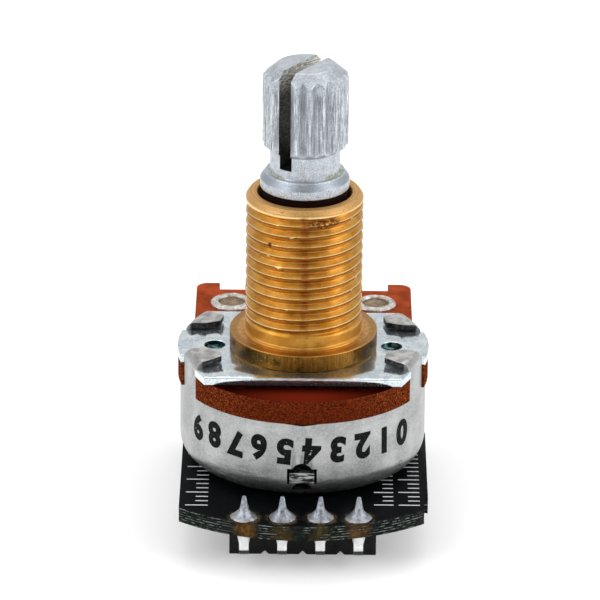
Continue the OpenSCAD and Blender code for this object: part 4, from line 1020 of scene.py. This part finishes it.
class POT_OT_can(bpy.types.Operator):
    """Finish the drawn can and stamp its row of digits"""
    bl_idname = "pot.can"
    bl_label = "Can and digits"

    def execute(self, context):
        settings = context.scene.pot.can
        piece = softened("rear_cover", "can_drawn", 0.08, can_sheet("can_steel", tuple(settings.steel)))
        even_shading(piece)
        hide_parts("rear_cover")
        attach(piece, "housing")
        ink = stamped_ink("stamping_ink", tuple(settings.ink), tuple(settings.steel))
        tilts = random.Random(7)
        first_azimuth, step = 53.5, 12.3
        for digit in range(10):
            azimuth = math.radians(first_azimuth - step * digit)
            self.stamp(digit, azimuth, settings.digit_height / MM, tilts, ink)
        return {"FINISHED"}

    def stamp(self, digit, azimuth, height, tilts, ink):
        """One upside-down digit, wrapped round the can's wall."""
        text = bpy.data.curves.new("digit", "FONT")
        text.body = str(digit)
        text.size = 1.0
        text.offset = 0.052
        text.resolution_u = 5
        text.fill_mode = "FRONT"
        carrier = bpy.data.objects.new("digit_carrier", text)
        link(carrier)
        flat = bpy.data.meshes.new_from_object(carrier.evaluated_get(bpy.context.evaluated_depsgraph_get()))
        bpy.data.objects.remove(carrier)
        grid = bmesh.new()
        grid.from_mesh(flat)
        bmesh.ops.remove_doubles(grid, verts=grid.verts, dist=1e-5)
        bmesh.ops.triangulate(grid, faces=grid.faces)
        long_edges = [e for e in grid.edges if e.calc_length() > 0.12]
        bmesh.ops.subdivide_edges(grid, edges=long_edges, cuts=3, use_grid_fill=True)
        xs = [v.co.x for v in grid.verts]
        ys = [v.co.y for v in grid.verts]
        middle = Vector(((min(xs) + max(xs)) / 2, (min(ys) + max(ys)) / 2))
        tall = max(ys) - min(ys)
        slimness = 0.94
        tilt = tilts.uniform(-0.07, 0.07)
        lift = tilts.uniform(-0.06, 0.06)
        outer = bmesh.ops.extrude_face_region(grid, geom=list(grid.faces))
        raised = {v for v in outer["geom"] if isinstance(v, bmesh.types.BMVert)}
        for vertex in grid.verts:
            u = (vertex.co.x - middle.x) * slimness * height / tall
            v = (vertex.co.y - middle.y) * height / tall
            u, v = u * math.cos(tilt) - v * math.sin(tilt), u * math.sin(tilt) + v * math.cos(tilt)
            # Upside down: both directions are turned round
            angle = azimuth - u / CAN_RADIUS
            r = CAN_RADIUS + (INK_TOP if vertex in raised else INK_FOOT)
            z = DIGIT_ROW_Z + lift - v
            vertex.co = Vector(around(r, angle, z)) * MM
        piece = from_grid(grid, f"digit_{digit}", ink)
        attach(piece, "housing")


class POT_OT_plate(bpy.types.Operator):
    """Finish the bright mounting plate"""
    bl_idname = "pot.plate"
    bl_label = "Mounting plate"

    def execute(self, context):
        piece = softened("mounting_plate", "plate_bright", 0.06, zinc_sheet("zinc_plate"), turns=3)
        piece.data.materials.append(self.passivation())
        pip_x, pip_y, pip_radius = 6.0, -0.3, 0.76
        for face in piece.data.polygons:
            centre = face.center / MM
            away = math.hypot(abs(centre.x) - pip_x, centre.y - pip_y)
            inside = away < pip_radius and centre.z < PLATE_TOP - 0.02
            face.material_index = 1 if inside else 0
        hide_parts("mounting_plate")
        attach(piece, "housing")
        return {"FINISHED"}

    def passivation(self):
        """The dark teal bloom inside the two pips."""
        f = Finish("pip_bloom")
        patches = f.patches(2.6, 3, 0.6, 0.46, 0.60)
        f.colour = f.blend(patches, (0.006, 0.022, 0.025), (0.17, 0.33, 0.34))
        return f.done(0.5, 0.35, f.bump(f.noise(6, 3), 0.02), Specular_IOR_Level=0.1)


class POT_OT_wafer(bpy.types.Operator):
    """Finish the laminate wafer and make its eyelets and printed films"""
    bl_idname = "pot.wafer"
    bl_label = "Wafer and eyelets"

    def execute(self, context):
        settings = context.scene.pot.wafer
        piece = softened("wafer", "wafer_moulded", 0.05, laminate("phenolic", tuple(settings.laminate)))
        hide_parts("wafer")
        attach(piece, "housing")
        rim = tinned("tinned_metal", (0.62, 0.60, 0.56), 0.25)
        fill = tinned("eyelet_residue", (0.25, 0.19, 0.13), 1.0)
        for side, x in EYELET_PLACES.items():
            self.eyelet(side, x, 0.06 if side == "left" else 0.0, rim, fill)
            finish_node(f"terminal_{side}", rim)
        finish_node("carbon_track", printed_film("carbon", (0.020, 0.020, 0.022)))
        finish_node("collector_ring", printed_film("silver_film", (0.62, 0.61, 0.58), 0.7))
        return {"FINISHED"}

    def eyelet(self, side, x, more, rim, fill):
        """A rolled rim that is not quite round, and the solder residue in its bore."""
        low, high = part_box(f"eyelet_{side}")
        seed = 11 + x
        bottom, top = low.z / MM, high.z / MM
        outline = rounded([
            (0.90, bottom), (1.25, bottom, 0.05), (1.25, bottom + 0.25, 0.02), (1.05, bottom + 0.25),
            (1.05, PLATE_BOTTOM), (1.40 + more, PLATE_BOTTOM, 0.03), (1.42 + more, PLATE_BOTTOM + 0.16, 0.1),
            (1.20 + more, top, 0.12), (0.98, top - 0.02, 0.06), (0.90, top - 0.14, 0.05), (0.90, bottom)])

        def uneven(k, angle, r, z):
            if z > PLATE_BOTTOM - 0.01 and r > 1.1:
                r += 0.045 * round_wobble(angle, 2, 0, seed)
                z -= 0.035 * abs(round_wobble(angle, 3, 0, seed + 3)) * (z > top - 0.1)
            return r, z

        piece = revolve(f"eyelet_rim_{side}", outline, 72, uneven, rim)
        self.place(piece, x)
        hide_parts(f"eyelet_{side}")
        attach(piece, "housing")
        floor = top - 0.42
        surface = [(0.0, floor), (0.25, floor), (0.5, floor + 0.03), (0.72, floor + 0.09), (0.88, floor + 0.22)]
        pool = surface + [(0.88, floor - 0.35), (0.4, floor - 0.4), (0.0, floor - 0.4)]

        def lumpy(k, angle, r, z):
            if k < len(surface):
                z += 0.09 * wobble(r * math.sin(angle), r * math.cos(angle), 0, seed + 1, 2.2)
            return r, z

        residue = revolve(f"eyelet_residue_{side}", pool, 48, lumpy, fill, 60)
        self.place(residue, x)
        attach(residue, "housing")

    def place(self, piece, x):
        piece.data.transform(Matrix.Translation(Vector((x, EYELET_ROW_Y, 0)) * MM))
        merge_points(piece, 0.0005)
        smooth(piece, 55)


class POT_OT_board(bpy.types.Operator):
    """Finish the circuit board and print its rows of plain ticks"""
    bl_idname = "pot.board"
    bl_label = "Circuit board"

    def execute(self, context):
        settings = context.scene.pot.board
        piece = softened("circuit_board", "board_cut", 0.03, board_laminate("board", tuple(settings.mask)))
        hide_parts("circuit_board")
        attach(piece, "housing")
        ink = self.print_ink(tuple(settings.marks))
        # One row on the left of the board and two on the right
        self.ticks("marks_left", -7.78, -6.28, -9.1, -1.0, 13, ink)
        self.ticks("marks_right_inner", 4.85, 6.15, -8.8, -3.6, 9, ink)
        self.ticks("marks_right_outer", 6.50, 7.92, -8.8, -0.8, 13, ink)
        return {"FINISHED"}

    def print_ink(self, colour):
        f = Finish("marking_ink")
        thin = f.patches(9, 3, 0.6, 0.60, 0.72, 0, 0.6)
        f.colour = f.blend(thin, colour, scaled(colour, 0.4))
        return f.done(0.55, 0.0, f.bump(f.noise(16, 2), 0.004))

    def ticks(self, name, x0, x1, y0, y1, count, ink):
        """A row of plain ticks, every third one long, a few hundredths proud of the mask."""
        half, inset = 0.055, 0.012
        vertices, faces = [], []
        for k in range(count):
            y = y0 + (y1 - y0) * k / (count - 1)
            left = x0 if k % 3 == 0 else x0 + (x1 - x0) * 0.45
            start = len(vertices)
            for z, i in ((BOARD_TOP + 0.001, 0.0), (BOARD_TOP + 0.018, inset)):
                a, b, c, d = left + i, x1 - i, y - half + i, y + half - i
                vertices += [(a, c, z), (b, c, z), (b, d, z), (a, d, z)]
            faces += [tuple(start + i for i in quad) for quad in (
                (3, 2, 1, 0), (4, 5, 6, 7), (0, 1, 5, 4), (1, 2, 6, 5), (2, 3, 7, 6), (3, 0, 4, 7))]
        piece = make_piece(name, vertices, faces, ink)
        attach(piece, "housing")


class POT_OT_header(bpy.types.Operator):
    """Finish the header block and its pins"""
    bl_idname = "pot.header"
    bl_label = "Header"

    def execute(self, context):
        black = plastic("header_plastic", (0.010, 0.010, 0.011))
        piece = softened("header_block", "header_moulded", 0.05, black, 30)
        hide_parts("header_block")
        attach(piece, "housing")
        tin = pin_tin("pin_metal")
        taper, tip = 0.55, 1.0
        for i in (1, 2, 3, 4):
            pin = softened(f"header_pin_{i}", f"pin_drawn_{i}", 0.05, tin, 30, 3)
            # The dipped points start lower down than the bare ones
            for vertex in pin.data.vertices:
                above = vertex.co.z / MM - BOARD_TOP
                if above > taper:
                    vertex.co.z -= (0.30 if above < tip else 0.08) * MM
            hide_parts(f"header_pin_{i}")
            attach(pin, "housing")
        return {"FINISHED"}


class POT_OT_solder(bpy.types.Operator):
    """Make the solder joints of the pins and the terminals"""
    bl_idname = "pot.solder"
    bl_label = "Solder joints"

    def execute(self, context):
        solder = tinned("solder", (0.38, 0.41, 0.45), 0.10, 0.9)
        for i, x in enumerate(PIN_PLACES, 1):
            self.joint(i, x, solder)
        for side in EYELET_PLACES:
            finish_node(f"terminal_solder_{side}", solder)
        return {"FINISHED"}

    def joint(self, number, x, solder):
        """A hollow flared skirt that climbs the pin, uneven round its foot, and the fillet underneath."""
        foot, neck, height, turns = 0.88, 0.28, 0.76, 14
        lean = 0.10 * wobble(number, 0, 0, 4, 2.3)
        skirt = [(neck + (foot - neck) * (1 - k / turns) ** 1.85, 0.03 + height * (k / turns))
                 for k in range(turns, 0, -1)]
        rings = [(0.0, height + 0.03), *skirt, (foot, 0.0), (0.49, 0.0), (0.49, -1.1), (0.55, -1.1),
                 (0.47, -1.22), (0.43, -1.50), (0.38, -1.75), (0.33, -1.95), (0.0, -1.97)]

        def uneven(k, angle, r, z):
            if 0 < k <= turns + 1:
                share = max(0, 1 - z / height)
                r += 0.10 * share * round_wobble(angle, 1.5, 0, number * 3.7)
                r += 0.03 * round_wobble(angle, 5, z * 3, number) * (0.3 + share)
                z = z + 0.05 * share * max(0, round_wobble(angle, 2, 0, number + 9)) * (z > 0.01)
            return r, z

        piece = revolve(f"pin_fillet_{number}", rings, 56, uneven, solder, 60)
        for vertex in piece.data.vertices:
            vertex.co.x += lean * max(0, vertex.co.z) * 0.5
        piece.data.transform(Matrix.Translation(Vector((x, PIN_ROW_Y, BOARD_TOP)) * MM))
        merge_points(piece, 0.0005)
        smooth(piece, 60)
        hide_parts(f"pin_solder_{number}")
        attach(piece, "housing")


class POT_OT_inner(bpy.types.Operator):
    """Finish the pieces that turn inside the can"""
    bl_idname = "pot.inner"
    bl_label = "Inner pieces"

    def execute(self, context):
        finish_node("rotor", plastic("rotor_moulding", (0.055, 0.026, 0.014), 0.5))
        finish_node("wiper", plain_metal("bronze", (0.60, 0.30, 0.12)))
        finish_node("retaining_ring", plain_metal("spring_steel", (0.20, 0.20, 0.21), 0.4))
        return {"FINISHED"}


STEPS = (POT_OT_stage, POT_OT_shaft, POT_OT_bush, POT_OT_can, POT_OT_plate, POT_OT_wafer,
         POT_OT_board, POT_OT_header, POT_OT_solder, POT_OT_inner)


class POT_PT_panel(bpy.types.Panel):
    """Sizes, colours and steps of the potentiometer"""
    bl_idname = "POT_PT_panel"
    bl_label = "Potentiometer"
    bl_space_type = "VIEW_3D"
    bl_region_type = "UI"
    bl_category = "Potentiometer"

    def draw(self, context):
        column = self.layout.column()
        for step in STEPS:
            column.operator(step.bl_idname)
        for group in ("shaft", "bush", "can", "wafer", "board", "stage"):
            box = self.layout.box()
            settings = getattr(context.scene.pot, group)
            for name in settings.bl_rna.properties.keys():
                if name not in {"rna_type", "name"}:
                    box.prop(settings, name)


CLASSES = (PotShaft, PotBush, PotCan, PotWafer, PotBoard, PotStage, PotSettings, *STEPS, POT_PT_panel)


def register():
    for cls in CLASSES:
        bpy.utils.register_class(cls)
    bpy.types.Scene.pot = PointerProperty(type=PotSettings)


def unregister():
    del bpy.types.Scene.pot
    for cls in reversed(CLASSES):
        bpy.utils.unregister_class(cls)


def main():
    register()
    bpy.ops.pot.stage()
    bpy.ops.pot.shaft()
    bpy.ops.pot.bush()
    bpy.ops.pot.can()
    bpy.ops.pot.plate()
    bpy.ops.pot.wafer()
    bpy.ops.pot.board()
    bpy.ops.pot.header()
    bpy.ops.pot.solder()
    bpy.ops.pot.inner()


if __name__ == "__main__":
    main()
